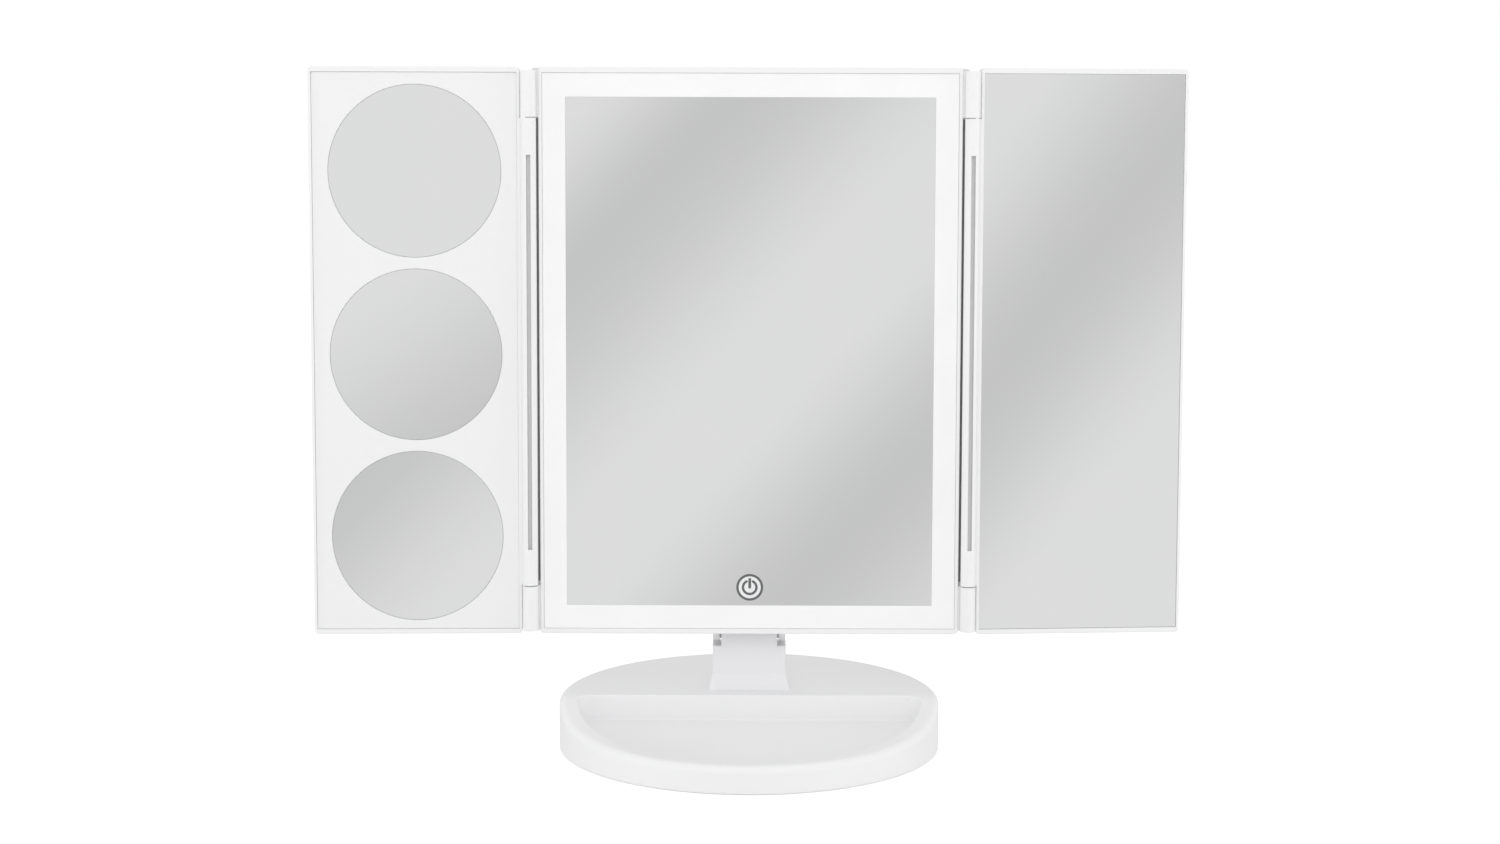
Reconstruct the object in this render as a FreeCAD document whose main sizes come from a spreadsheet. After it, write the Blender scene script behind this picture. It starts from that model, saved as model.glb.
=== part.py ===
import FreeCAD, Part
import math
import os
import re
import Sketcher

doc = FreeCAD.newDocument("trifold_vanity_mirror")

# ---------------------------------------------------------------------------------------------
# Driving dimensions, millimetres and degrees.
# The row frame stands on the table: origin under the middle of the base, +Z up, front towards -Y.
# The panel frame has y = 0 on the mirror's face, z = 0 on the frame's lower edge, y growing backwards.
# A wing's frame has its z axis on the hinge pin and x along the wing.
# ---------------------------------------------------------------------------------------------
DIMENSIONS = [
    ("base_radius", 76.0, "round base, outer"),
    ("deck_height", 20.0, "top of the rear deck above the table"),
    ("rim_height", 10.9, "top of the tray's rim at the very front"),
    ("crown_radius", 30.0, "radius over which the deck turns down into the rim"),
    ("deck_edge", 0.6, "the deck starts to fall away this far in front of the middle of the base"),
    ("base_rounding", 3.0, "rounding of the base's outer edges"),
    ("base_wall", 2.4, "wall of the base moulding"),
    ("tray_rim", 7.0, "width of the rim around the tray"),
    ("tray_rear", 1.6, "the tray's rear wall is this far in front of the middle of the base"),
    ("tray_lip_height", 1.2, "the rim stands this far above the tray's floor at the very front"),
    ("tray_floor_wall", 1.8, "thickness of the tray floor"),
    ("tray_corner", 5.0, "rounding of the tray's two rear corners"),
    ("tray_cove", 0.7, "rounding between the tray's floor and walls"),
    ("tray_lip_rounding", 0.4, "rounding of the tray's upper edge"),
    ("base_plate_thick", 1.8, "bottom plate"),
    ("plate_gap", 0.3, "gap around the bottom plate"),
    ("wall_clearance", 0.4, "the base moulding's wall ends this far above the table"),
    ("foot_radius", 6.0, "rubber foot"),
    ("foot_proud", 0.9, "rubber feet stand this far out of the bottom plate"),
    ("foot_recess", 0.8, "depth of the pocket that holds a foot"),
    ("foot_inset", 20.0, "feet from the base's outer edge"),
    ("boss_radius", 3.6, "screw boss in the base"),
    ("boss_inset", 10.0, "bottom plate screws from the base's outer edge"),
    ("plate_screw_length", 7.0, "shank of a bottom plate screw"),
    ("ballast_thick", 6.0, "steel ballast plate"),
    ("ballast_inset", 16.0, "the ballast ends this far inside the base's outer edge"),
    ("ballast_gap", 4.0, "gap between the ballast and the tray's rear wall"),
    ("ballast_clearance", 0.8, "space over the ballast for the neck's screw heads"),
    ("neck_width", 29.6, "neck, left to right"),
    ("neck_depth", 13.0, "neck, front to back"),
    ("neck_rounding", 1.8, "rounding of the neck's upright edges"),
    ("neck_flare", 1.6, "the foot of the neck spreads by this much on each side"),
    ("flare_height", 6.5, "height of the spreading foot"),
    ("neck_wall", 2.4, "wall of the neck moulding"),
    ("cover_thick", 1.6, "rear cover of the neck"),
    ("cover_gap", 0.15, "gap around the neck's rear cover"),
    ("tilt_setback", 15.2, "tilt axis behind the middle of the base"),
    ("tilt_height", 45.0, "tilt axis above the table"),
    ("tongue_width", 22.4, "top of the neck between the housing's ears"),
    ("ear_thick", 2.6, "ear of the rear housing"),
    ("ear_gap", 0.8, "space between the neck's tongue and an ear, filled by a washer"),
    ("washer_thick", 0.6, "friction washer"),
    ("washer_radius", 5.2, "friction washer"),
    ("shoulder_gap", 0.7, "space between an ear and the neck's shoulder"),
    ("shaft_radius", 2.2, "tilt shaft"),
    ("shaft_play", 0.06, "running clearance around a shaft or hinge pin"),
    ("press_gap", 0.02, "clearance around a shaft or pin that is held fast"),
    ("tilt_back", 22.0, "tilt axis behind the mirror's face"),
    ("tilt_drop", 0.45, "tilt axis below the frame's lower edge"),
    ("panel_lean_angle", 2.46, "the panel leans back by this angle at rest"),
    ("frame_width", 165.8, "centre frame, outer"),
    ("frame_height", 223.5, "centre frame and wings, outer"),
    ("frame_corner", 1.6, "rounding of the frame's corners"),
    ("edge_rounding", 0.5, "rounding of the frames' front edges"),
    ("lip_proud", 0.7, "frame lips stand this far in front of the glass"),
    ("lip_side", 1.4, "width of the frame's lip at the sides"),
    ("lip_end", 2.1, "width of the frame's lip at the top and bottom"),
    ("frame_depth", 9.0, "rear edge of the front frame behind the mirror's face"),
    ("ledge_width", 2.4, "ledge that the diffuser is glued to"),
    ("ledge_thick", 1.2, "ledge that the diffuser is glued to"),
    ("seat_gap", 0.08, "gap around an inset pane"),
    ("border_side", 9.15, "light border between the frame's lip and the centre mirror, at the sides"),
    ("border_end", 9.4, "light border between the frame's lip and the centre mirror, top and bottom"),
    ("glass_thick", 2.0, "mirror glass"),
    ("diffuser_thick", 3.6, "opal diffuser"),
    ("led_board_width", 5.0, "light strip board"),
    ("led_board_thick", 0.8, "light strip board"),
    ("led_stand_off", 2.4, "front of a light strip board behind the diffuser"),
    ("led_size", 2.8, "light chip, square"),
    ("led_height", 0.7, "light chip"),
    ("led_pitch", 12.0, "distance between light chips"),
    ("strip_end_gap", 13.0, "a light strip stops this far short of the frame's corner"),
    ("reflector_thick", 0.8, "white reflector sheet"),
    ("key_height", 18.2, "touch key above the frame's lower edge"),
    ("key_pad_radius", 6.0, "touch sensor pad behind the diffuser"),
    ("key_pad_thick", 0.8, "touch sensor pad"),
    ("spring_radius", 2.4, "touch spring"),
    ("spring_wire", 0.35, "radius of the touch spring's wire"),
    ("panel_depth", 12.5, "rear face of the housing behind the mirror's face"),
    ("housing_wall", 1.8, "wall of the rear housing"),
    ("housing_overhang", 3.5, "the rear housing reaches this far past the frame, behind the hinge gaps"),
    ("housing_rounding", 2.2, "rounding of the rear housing's edges"),
    ("tongue_thick", 1.2, "locating tongue and ribs of the rear housing"),
    ("rib_inner_share", 0.279, "inner reflector ribs from the middle, as a share of the frame's width"),
    ("rib_outer_share", 0.404, "outer reflector ribs from the middle, as a share of the frame's width"),
    ("bulge_width", 70.0, "battery and circuit bulge"),
    ("bulge_bottom", 10.5, "bulge above the frame's lower edge"),
    ("bulge_top", 118.0, "bulge above the frame's lower edge"),
    ("bulge_depth", 22.8, "rear face of the bulge behind the mirror's face"),
    ("bulge_corner", 7.0, "corner radius of the bulge"),
    ("bulge_rounding", 2.0, "rounding of the bulge's rear edge"),
    ("cell_radius", 5.25, "battery cell"),
    ("cell_length", 44.5, "battery cell"),
    ("cell_cap_radius", 1.8, "raised end of a battery cell"),
    ("cell_pitch", 11.2, "distance between cells"),
    ("cell_bottom", 61.0, "lower end of the cells above the frame's lower edge"),
    ("contact_space", 3.0, "space for the contacts at each end of the cells"),
    ("contact_thick", 0.4, "contact plate"),
    ("contact_nub_radius", 1.3, "raised contact against a cell's cap"),
    ("contact_spring_wide", 3.7, "wide end of a contact spring"),
    ("contact_spring_narrow", 2.1, "narrow end of a contact spring"),
    ("cell_floor_thick", 1.2, "floor under the cells"),
    ("cell_floor_sunk", 0.5, "the cells' floor lies this far in front of the housing's inner face"),
    ("cell_gap", 0.3, "gap between a cell and what is around it"),
    ("door_thick", 1.6, "battery door"),
    ("door_margin", 1.8, "the door reaches this far past the compartment"),
    ("door_gap", 0.25, "gap around the battery door"),
    ("barrel_gap", 0.1, "the door's barrel is this much thinner than the door on each side"),
    ("pivot_radius", 0.5, "stubs that the battery door turns on"),
    ("pivot_reach", 0.8, "a stub reaches this far into the housing"),
    ("latch_half", 6.7, "half the width of the door's latch tongue"),
    ("latch_slot", 1.0, "slot on each side of the latch tongue"),
    ("latch_length", 10.5, "length of the latch tongue"),
    ("grip_half", 11.2, "half the width of the door's grip"),
    ("grip_start", 5.3, "lowest grip groove above the cell compartment's lower end"),
    ("grip_pitch", 2.0, "distance between grip grooves"),
    ("grip_groove", 0.75, "width of a grip groove"),
    ("grip_depth", 0.5, "depth of a grip groove"),
    ("board_thick", 1.2, "circuit board"),
    ("board_width", 58.0, "circuit board"),
    ("board_height", 26.0, "circuit board"),
    ("board_depth", 14.6, "front of the circuit board behind the mirror's face"),
    ("inlet_width", 7.6, "power inlet"),
    ("inlet_height", 2.9, "power inlet"),
    ("inlet_length", 7.0, "power inlet"),
    ("inlet_wall", 0.4, "sheet of the power inlet"),
    ("hinge_out", 3.8, "hinge pins outside the frame's sides"),
    ("hinge_front", 1.5, "hinge pins in front of the mirror's face"),
    ("knuckle_radius", 3.0, "hinge knuckle"),
    ("knuckle_inset", 1.3, "outer knuckles start this far from the frame's ends"),
    ("knuckle_length", 18.0, "outer knuckles"),
    ("knuckle_gap", 0.4, "gap between knuckles"),
    ("web_step", 0.2, "a knuckle's web ends this far short of the knuckle's rearmost line"),
    ("pin_radius", 1.25, "hinge pin"),
    ("pin_reach", 12.0, "a pin reaches this far into the wing's knuckle"),
    ("pin_cap", 2.0, "closed end of an outer knuckle"),
    ("slot_width", 1.7, "groove in the wing's knuckle"),
    ("slot_depth", 2.2, "groove in the wing's knuckle"),
    ("slot_margin", 14.4, "the groove stops this far from the knuckle's ends"),
    ("wing_start", 3.4, "inner edge of a wing from its pin"),
    ("wing_meet", 1.05, "a closed wing's outer edge stops this far short of the middle"),
    ("wing_thick", 7.7, "wing, front to back"),
    ("wing_rim_side", 1.2, "width of a wing's lip at the sides"),
    ("wing_rim_end", 2.0, "width of a wing's lip at the top and bottom"),
    ("wing_wall", 1.6, "rear wall of a wing"),
    ("pane_thick", 2.4, "wing mirror and wing face panel"),
    ("rib_thick", 1.6, "ribs behind a wing's pane"),
    ("round_gap", 4.5, "gap between two round mirrors"),
    ("round_end", 6.15, "round mirrors from the wing's ends"),
    ("round_drop", 0.6, "middle round mirror below the middle of the wing"),
    ("dish_depth", 0.35, "dish of the gentlest round mirror; the next ones are two and three times as deep"),
    ("left_wing_angle", 2.0, "the left wing is turned forward by this angle at rest"),
    ("right_wing_angle", 5.0, "the right wing is turned back by this angle at rest"),
    ("screw_radius", 1.3, "screw shank"),
    ("screw_head_radius", 2.5, "screw head"),
    ("screw_head_thick", 1.5, "screw head"),
    ("screw_gap", 0.1, "clearance around a screw"),
    ("corner_screw_inset", 6.2, "housing screws from the frame's sides and ends"),
    ("cut_margin", 2.0, "cuts run this far past the face they open"),
]

# Counts, and the directions of what stands in rings, in degrees from the row's +X axis.
CELL_COUNT = 4
SPRING_TURNS = 3
GRIP_COUNT = 5
RIB_CELLS_UP = 6
RIB_CELLS_ACROSS = 3
PLATE_SCREW_ANGLES = (20, 70, 110, 160)
FOOT_ANGLES = (45, 135, 225, 315)

# How close two measured places count as the same, on straight and on round edges.
SLACK = 0.01
ROUND_SLACK = 0.05

sheet = doc.addObject("Spreadsheet::Sheet", "Sizes")
for row, (alias, value, note) in enumerate(DIMENSIONS, start=1):
    sheet.set(f"A{row}", alias)
    sheet.set(f"B{row}", str(value))
    sheet.set(f"C{row}", note)
    sheet.setAlias(f"B{row}", alias)
doc.recompute()
ALIASES = {alias for alias, value, note in DIMENSIONS}


def bound(text):
    """An expression in plain size names, each led to its cell in the sheet."""
    return re.sub(r"[a-z][a-z_]*", lambda m: "Sizes." + m[0] if m[0] in ALIASES else m[0], str(text))


def number(text):
    return float(sheet.evalExpression(bound(text)))


# Derived places that several pieces share, written once.
SHELL_BOTTOM = "foot_proud"
PLATE_TOP = "(foot_proud + base_plate_thick)"
DECK_UNDERSIDE = "(deck_height - base_wall)"
NECK_SEAT = "(foot_proud + base_plate_thick + ballast_thick + screw_head_thick + ballast_clearance)"
SHOULDER = "(tilt_height - neck_depth / 2 - shoulder_gap)"
EAR_INNER = "(tongue_width / 2 + ear_gap)"
EAR_OUTER = "(tongue_width / 2 + ear_gap + ear_thick)"
LED_BOARD_FRONT = "(diffuser_thick + led_stand_off)"
REFLECTOR_FRONT = "(diffuser_thick + led_stand_off + led_board_thick)"
REFLECTOR_BACK = "(diffuser_thick + led_stand_off + led_board_thick + reflector_thick)"
MIRROR_SIDE = "(lip_side + border_side)"
MIRROR_END = "(lip_end + border_end)"
STRIP_SIDE = "(frame_width / 2 - lip_side - border_side / 2)"
STRIP_END = "(lip_end + border_end / 2)"
HINGE_OFFSET = "(frame_width / 2 + hinge_out)"
WING_REACH = "(frame_width / 2 + hinge_out - wing_meet)"
ROUND_RADIUS = "((frame_height - 2 * round_end - 2 * round_gap) / 6)"
ROUND_PITCH = f"(2 * {ROUND_RADIUS} + round_gap)"
BOX_HALF = f"({CELL_COUNT} / 2 * cell_pitch + cell_gap)"
BOX_BOTTOM = "(cell_bottom - contact_space)"
BOX_TOP = "(cell_bottom + cell_length + contact_space)"
CELL_FLOOR = "(panel_depth - housing_wall - cell_floor_sunk)"
CELL_DEPTH = "(panel_depth - housing_wall - cell_floor_sunk + cell_gap + cell_radius)"
BOARD_BOTTOM = "(bulge_bottom + housing_wall + cell_gap)"
LONG_BOTTOM = "(knuckle_inset + knuckle_length + knuckle_gap)"
LONG_TOP = "(frame_height - knuckle_inset - knuckle_length - knuckle_gap)"
WING_FACE = "hinge_front"
WING_BACK = "(hinge_front - lip_proud + wing_thick)"
PANE_BACK = "(hinge_front + pane_thick)"

# Placements: the panel leans on the tilt axis, each wing turns on its own pin in the panel.
NECK_PLACE = "placement(vector(0; tilt_setback; 0); rotation(vector(0; 0; 1); 0))"
PANEL_PLACE = (
    "placement(vector(0; tilt_setback; tilt_height); rotation(vector(1; 0; 0); -panel_lean_angle))"
    " * placement(vector(0; -tilt_back; tilt_drop); rotation(vector(1; 0; 0); 0))"
)
LEFT_PLACE = PANEL_PLACE + (
    f" * placement(vector(-{HINGE_OFFSET}; -hinge_front; 0); rotation(vector(0; 0; 1); left_wing_angle))"
)
RIGHT_PLACE = PANEL_PLACE + (
    f" * placement(vector({HINGE_OFFSET}; -hinge_front; 0); rotation(vector(0; 0; 1); right_wing_angle))"
)

NORMAL_FORWARD = {"XY": True, "XZ": False, "YZ": True}
nodes = []


# ---------------------------------------------------------------------------------------------
# Sketching and feature helpers
# ---------------------------------------------------------------------------------------------
def new_body(label, place=None):
    """One separate moulding or part, placed by an expression."""
    body = doc.addObject("PartDesign::Body", label)
    body.Label = label
    if place:
        body.setExpression("Placement", bound(place))
    nodes.append(body)
    return body


def new_sketch(body, plane, name, at="0"):
    """A sketch on one of the body's own planes, moved along the axis that stands on it."""
    support = [f for f in body.Origin.OriginFeatures if f.Role == plane + "_Plane"][0]
    sketch = body.newObject("Sketcher::SketchObject", name)
    sketch.AttachmentSupport = [(support, "")]
    sketch.MapMode = "FlatFace"
    sign = "" if NORMAL_FORWARD[plane] else "-"
    sketch.setExpression("AttachmentOffset.Base.z", bound(f"{sign}({at})"))
    return sketch


def hold(sketch, kind, *args):
    """A dimension of the sketch, bound to the sheet."""
    index = sketch.addConstraint(Sketcher.Constraint(kind, *args[:-1], number(args[-1])))
    sketch.setExpression(f"Constraints[{index}]", bound(args[-1]))


def hold_point(sketch, geometry, end, across, up):
    for kind, axis, size in (("DistanceX", -2, across), ("DistanceY", -1, up)):
        if size == "0":
            sketch.addConstraint(Sketcher.Constraint("PointOnObject", geometry, end, axis))
        else:
            hold(sketch, kind, geometry, end, size)


def line(sketch, start, end):
    return sketch.addGeometry(Part.LineSegment(FreeCAD.Vector(*start, 0), FreeCAD.Vector(*end, 0)))


def polygon(sketch, points):
    """A closed outline of straight lines through (across, up) pairs."""
    values = [(number(across), number(up)) for across, up in points]
    sides = [line(sketch, values[i], values[(i + 1) % len(values)]) for i in range(len(values))]
    for i, side in enumerate(sides):
        sketch.addConstraint(Sketcher.Constraint("Coincident", side, 2, sides[(i + 1) % len(sides)], 1))
        hold_point(sketch, side, 1, *points[i])


def rectangle(sketch, left, right, bottom, top):
    polygon(sketch, [(left, bottom), (right, bottom), (right, top), (left, top)])


def circle(sketch, across, up, radius):
    centre = FreeCAD.Vector(number(across), number(up), 0)
    ring = sketch.addGeometry(Part.Circle(centre, FreeCAD.Vector(0, 0, 1), number(radius)))
    hold_point(sketch, ring, 3, across, up)
    hold(sketch, "Radius", ring, radius)


def arc(sketch, centre, radius, first, last):
    """A counter-clockwise arc between two angles in radians."""
    round_part = Part.Circle(FreeCAD.Vector(*centre, 0), FreeCAD.Vector(0, 0, 1), radius)
    return sketch.addGeometry(Part.ArcOfCircle(round_part, first, last))


def rounded_rectangle(sketch, left, right, bottom, top, radius):
    """A rectangle with four equal round corners."""
    x0, x1, y0, y1 = (number(v) for v in (left, right, bottom, top))
    r = number(radius)
    quarter = math.pi / 2
    sides = [
        line(sketch, (x0 + r, y0), (x1 - r, y0)),
        line(sketch, (x1, y0 + r), (x1, y1 - r)),
        line(sketch, (x1 - r, y1), (x0 + r, y1)),
        line(sketch, (x0, y1 - r), (x0, y0 + r)),
    ]
    corners = [
        arc(sketch, (x1 - r, y0 + r), r, 3 * quarter, 4 * quarter),
        arc(sketch, (x1 - r, y1 - r), r, 0, quarter),
        arc(sketch, (x0 + r, y1 - r), r, quarter, 2 * quarter),
        arc(sketch, (x0 + r, y0 + r), r, 2 * quarter, 3 * quarter),
    ]
    for i in range(4):
        sketch.addConstraint(Sketcher.Constraint("Tangent", sides[i], 2, corners[i], 1))
        sketch.addConstraint(Sketcher.Constraint("Tangent", corners[i], 2, sides[(i + 1) % 4], 1))
        sketch.addConstraint(Sketcher.Constraint("Horizontal" if i % 2 == 0 else "Vertical", sides[i]))
    for i in range(1, 4):
        sketch.addConstraint(Sketcher.Constraint("Equal", corners[0], corners[i]))
    hold(sketch, "Radius", corners[0], radius)
    hold(sketch, "DistanceY", sides[0], 1, bottom)
    hold(sketch, "DistanceX", sides[1], 1, right)
    hold(sketch, "DistanceY", sides[2], 1, top)
    hold(sketch, "DistanceX", sides[3], 1, left)


def add(body, name, plane, start, end, draw, *sizes):
    """Adds material between two heights over the plane."""
    sketch = new_sketch(body, plane, name + "_outline", start)
    draw(sketch, *sizes)
    pad = body.newObject("PartDesign::Pad", name)
    pad.Profile = sketch
    pad.Reversed = not NORMAL_FORWARD[plane]
    pad.setExpression("Length", bound(f"({end}) - ({start})"))
    doc.recompute()
    return pad


def cut(body, name, plane, start, end, draw, *sizes):
    """Takes material away between two heights over the plane."""
    before = body.Shape.Volume
    sketch = new_sketch(body, plane, name + "_outline", start)
    draw(sketch, *sizes)
    pocket = body.newObject("PartDesign::Pocket", name)
    pocket.Profile = sketch
    pocket.Reversed = NORMAL_FORWARD[plane]
    pocket.setExpression("Length", bound(f"({end}) - ({start})"))
    doc.recompute()
    if not body.Shape.Volume < before:
        raise RuntimeError(f"{body.Label}: {name} cuts nothing")
    return pocket


def revolve(body, name, plane, draw, *sizes):
    """Turns an outline about the sketch's upright axis."""
    sketch = new_sketch(body, plane, name + "_outline")
    draw(sketch, *sizes)
    turned = body.newObject("PartDesign::Revolution", name)
    turned.Profile = sketch
    turned.ReferenceAxis = (sketch, ["V_Axis"])
    turned.Angle = 360
    doc.recompute()
    return turned


def edge_names(feature, wanted):
    """Names of the feature's edges that the test picks."""
    return [f"Edge{i}" for i, edge in enumerate(feature.Shape.Edges, start=1) if wanted(edge)]


def round_off(body, name, radius, wanted, kind="Fillet"):
    """Rounds or chamfers the picked edges of the body's last feature."""
    base = body.Tip
    picked = edge_names(base, wanted)
    if not picked:
        raise RuntimeError(f"{body.Label}: {name} finds no edge")
    dressed = body.newObject("PartDesign::" + kind, name)
    dressed.Base = (base, picked)
    dressed.setExpression("Radius" if kind == "Fillet" else "Size", bound(radius))
    doc.recompute()
    return dressed


def close_to(value, target, slack=SLACK):
    return abs(value - target) < slack


def flat_at(axis, height):
    """Picks the edges that lie wholly at one height along an axis."""
    level = number(height)
    low, high = axis.upper() + "Min", axis.upper() + "Max"
    return lambda e: close_to(getattr(e.BoundBox, low), level) and close_to(getattr(e.BoundBox, high), level)


def upright(edge):
    """Picks the edges that run straight up."""
    box = edge.BoundBox
    return close_to(box.XMin, box.XMax) and close_to(box.YMin, box.YMax)


def outward(side, close, far):
    """The left and right ends of a stretch that starts close to the middle, on either side."""
    if side > 0:
        return close, far
    return f"-({far})", "0" if close == "0" else f"-({close})"


def group(label, pieces, place=None):
    """Identical small parts that share one node as separate solids."""
    compound = doc.addObject("Part::Compound", label)
    compound.Label = label
    compound.Links = pieces
    if place:
        compound.setExpression("Placement", bound(place))
    nodes.append(compound)
    return compound


def primitive(kind, name, place, **sizes):
    """A Part primitive whose sizes and place follow the sheet."""
    shape = doc.addObject("Part::" + kind, name)
    for size, text in sizes.items():
        shape.setExpression(size, bound(text))
    shape.setExpression("Placement", bound(place))
    return shape


def at(x, y, z, axis="0; 0; 1", angle="0"):
    return f"placement(vector({x}; {y}; {z}); rotation(vector({axis}); {angle}))"


def screw(name, place, length):
    """A pan-head screw: the head's underside is at the place, the shank runs along the local +z axis."""
    head = primitive("Cylinder", name + "_head", at("0", "0", "-screw_head_thick"),
                     Radius="screw_head_radius", Height="screw_head_thick")
    shank = primitive("Cylinder", name + "_shank", at("0", "0", "0"), Radius="screw_radius", Height=length)
    whole = doc.addObject("Part::Fuse", name)
    whole.Base = head
    whole.Tool = shank
    whole.setExpression("Placement", bound(place))
    return whole


# ---------------------------------------------------------------------------------------------
# Base: one round moulding, a deck behind and a tray in front, on a screwed bottom plate
# ---------------------------------------------------------------------------------------------
def scoop_outline(sketch):
    """Side view of what the rim's sweep takes away: level at the front, level again at the deck."""
    run = number("base_radius - deck_edge")
    rise = number("deck_height - rim_height")
    turn = 2 * math.atan(rise / run)
    crown = number("crown_radius")
    sweep = run / math.sin(turn) - crown
    front, deck = -number("base_radius"), -number("deck_edge")
    low, top = number("rim_height"), number("deck_height")
    margin = number("cut_margin")
    hollow = arc(sketch, (front, low + sweep), sweep, 1.5 * math.pi, 1.5 * math.pi + turn)
    crest = arc(sketch, (deck, top - crown), crown, 0.5 * math.pi, 0.5 * math.pi + turn)
    up = line(sketch, (deck, top), (deck, top + margin))
    over = line(sketch, (deck, top + margin), (front - margin, top + margin))
    down = line(sketch, (front - margin, top + margin), (front - margin, low))
    in_front = line(sketch, (front - margin, low), (front, low))
    for first, first_end, second, second_end in (
        (crest, 1, up, 1), (up, 2, over, 1), (over, 2, down, 1), (down, 2, in_front, 1),
    ):
        sketch.addConstraint(Sketcher.Constraint("Coincident", first, first_end, second, second_end))
    sketch.addConstraint(Sketcher.Constraint("Tangent", in_front, 2, hollow, 1))
    sketch.addConstraint(Sketcher.Constraint("Tangent", hollow, 2, crest, 2))
    sketch.addConstraint(Sketcher.Constraint("Vertical", crest, 3, crest, 1))
    sketch.addConstraint(Sketcher.Constraint("Vertical", up))
    sketch.addConstraint(Sketcher.Constraint("Horizontal", over))
    sketch.addConstraint(Sketcher.Constraint("Vertical", down))
    sketch.addConstraint(Sketcher.Constraint("Horizontal", in_front))
    hold(sketch, "Radius", crest, "crown_radius")
    hold_point(sketch, crest, 1, "-deck_edge", "deck_height")
    hold_point(sketch, in_front, 2, "-base_radius", "rim_height")
    hold(sketch, "DistanceY", over, 1, "deck_height + cut_margin")
    hold(sketch, "DistanceX", down, 1, "-base_radius - cut_margin")


def half_round(sketch, radius, chord, side):
    """The part of a disc in front of (side -1) or behind (side 1) a straight line along X."""
    r, level = number(radius), number(chord)
    reach = math.sqrt(r * r - level * level)
    angle = math.atan2(level, reach)
    if side < 0:
        bow = arc(sketch, (0, 0), r, math.pi - angle, 2 * math.pi + angle)
        chord_line = line(sketch, (reach, level), (-reach, level))
    else:
        bow = arc(sketch, (0, 0), r, angle, math.pi - angle)
        chord_line = line(sketch, (-reach, level), (reach, level))
    sketch.addConstraint(Sketcher.Constraint("Coincident", bow, 2, chord_line, 1))
    sketch.addConstraint(Sketcher.Constraint("Coincident", chord_line, 2, bow, 1))
    sketch.addConstraint(Sketcher.Constraint("Coincident", bow, 3, -1, 1))
    sketch.addConstraint(Sketcher.Constraint("Horizontal", chord_line))
    hold(sketch, "Radius", bow, radius)
    hold(sketch, "DistanceY", chord_line, 1, chord)


TRAY_RADIUS = "(base_radius - tray_rim)"
TRAY_FLOOR = "(rim_height - tray_lip_height)"
REAR_WALL = "(-tray_rear + base_wall)"


def on_ring(radius, angles):
    """Places on a circle about the middle of the base."""
    return [(f"({radius}) * cos({angle} * 1 deg)", f"({radius}) * sin({angle} * 1 deg)") for angle in angles]


PLATE_SCREWS = on_ring("base_radius - boss_inset", PLATE_SCREW_ANGLES)
FEET = on_ring("base_radius - foot_inset", FOOT_ANGLES)
NECK_SCREWS = [(f"{side} * neck_width / 4", "tilt_setback") for side in (-1, 1)]


def circles(sketch, places, radius):
    for across, up in places:
        circle(sketch, across, up, radius)


def make_base_shell():
    shell = new_body("base_shell")
    add(shell, "disc", "XY", "wall_clearance", "deck_height", circle, "0", "0", "base_radius")
    sketch = new_sketch(shell, "YZ", "rim_sweep_outline")
    scoop_outline(sketch)
    sweep = shell.newObject("PartDesign::Pocket", "rim_sweep")
    sweep.Profile = sketch
    sweep.Type = 1
    sweep.Midplane = True
    doc.recompute()
    outer = number("base_radius")
    low = number("wall_clearance")

    def on_outer_edge(edge):
        points = [v.Point for v in edge.Vertexes]
        points.append(edge.valueAt((edge.FirstParameter + edge.LastParameter) / 2))
        return all(close_to(math.hypot(p.x, p.y), outer, ROUND_SLACK) for p in points)

    def upper(edge):
        longer = edge.Length > number("deck_height")
        return on_outer_edge(edge) and edge.BoundBox.ZMin > low + SLACK and longer

    round_off(shell, "outer_rounding", "base_rounding", upper)
    cut(shell, "tray", "XY", TRAY_FLOOR, "deck_height + cut_margin",
        half_round, TRAY_RADIUS, "-tray_rear", -1)
    floor = number(TRAY_FLOOR)
    chord = -number("tray_rear")
    corner_x = math.sqrt(number(TRAY_RADIUS) ** 2 - chord ** 2)
    round_off(shell, "tray_corners", "tray_corner",
              lambda e: close_to(e.BoundBox.XMin, e.BoundBox.XMax)
              and close_to(abs(e.BoundBox.XMin), corner_x, ROUND_SLACK)
              and close_to(e.BoundBox.YMin, chord) and close_to(e.BoundBox.ZMin, floor))
    inside = number(TRAY_RADIUS) + ROUND_SLACK

    def in_tray(edge):
        box = edge.BoundBox
        return box.XMax < inside and box.YMin > -inside and box.YMax < chord + ROUND_SLACK

    def at_mouth(edge):
        return in_tray(edge) and edge.BoundBox.ZMin > floor + SLACK and edge.BoundBox.XLength > SLACK

    round_off(shell, "tray_lip", "tray_lip_rounding", at_mouth)
    round_off(shell, "tray_floor_cove", "tray_cove", lambda e: in_tray(e) and flat_at("z", TRAY_FLOOR)(e))
    cut(shell, "hollow", "XY", "0", f"{TRAY_FLOOR} - tray_floor_wall",
        circle, "0", "0", "base_radius - base_wall")
    cut(shell, "deck_hollow", "XY", "0", DECK_UNDERSIDE,
        half_round, "(base_radius - base_wall)", REAR_WALL, 1)
    add(shell, "plate_bosses", "XY", PLATE_TOP, "deck_height - base_wall / 2",
        circles, PLATE_SCREWS, "boss_radius")
    add(shell, "neck_bosses", "XY", NECK_SEAT, "deck_height - base_wall / 2",
        circles, NECK_SCREWS, "boss_radius")
    cut(shell, "plate_screw_holes", "XY", "0", f"{PLATE_TOP} + plate_screw_length", circles, PLATE_SCREWS,
        "screw_radius + screw_gap")
    cut(shell, "neck_screw_holes", "XY", "0", "deck_height + cut_margin", circles, NECK_SCREWS,
        "screw_radius + screw_gap")


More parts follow.
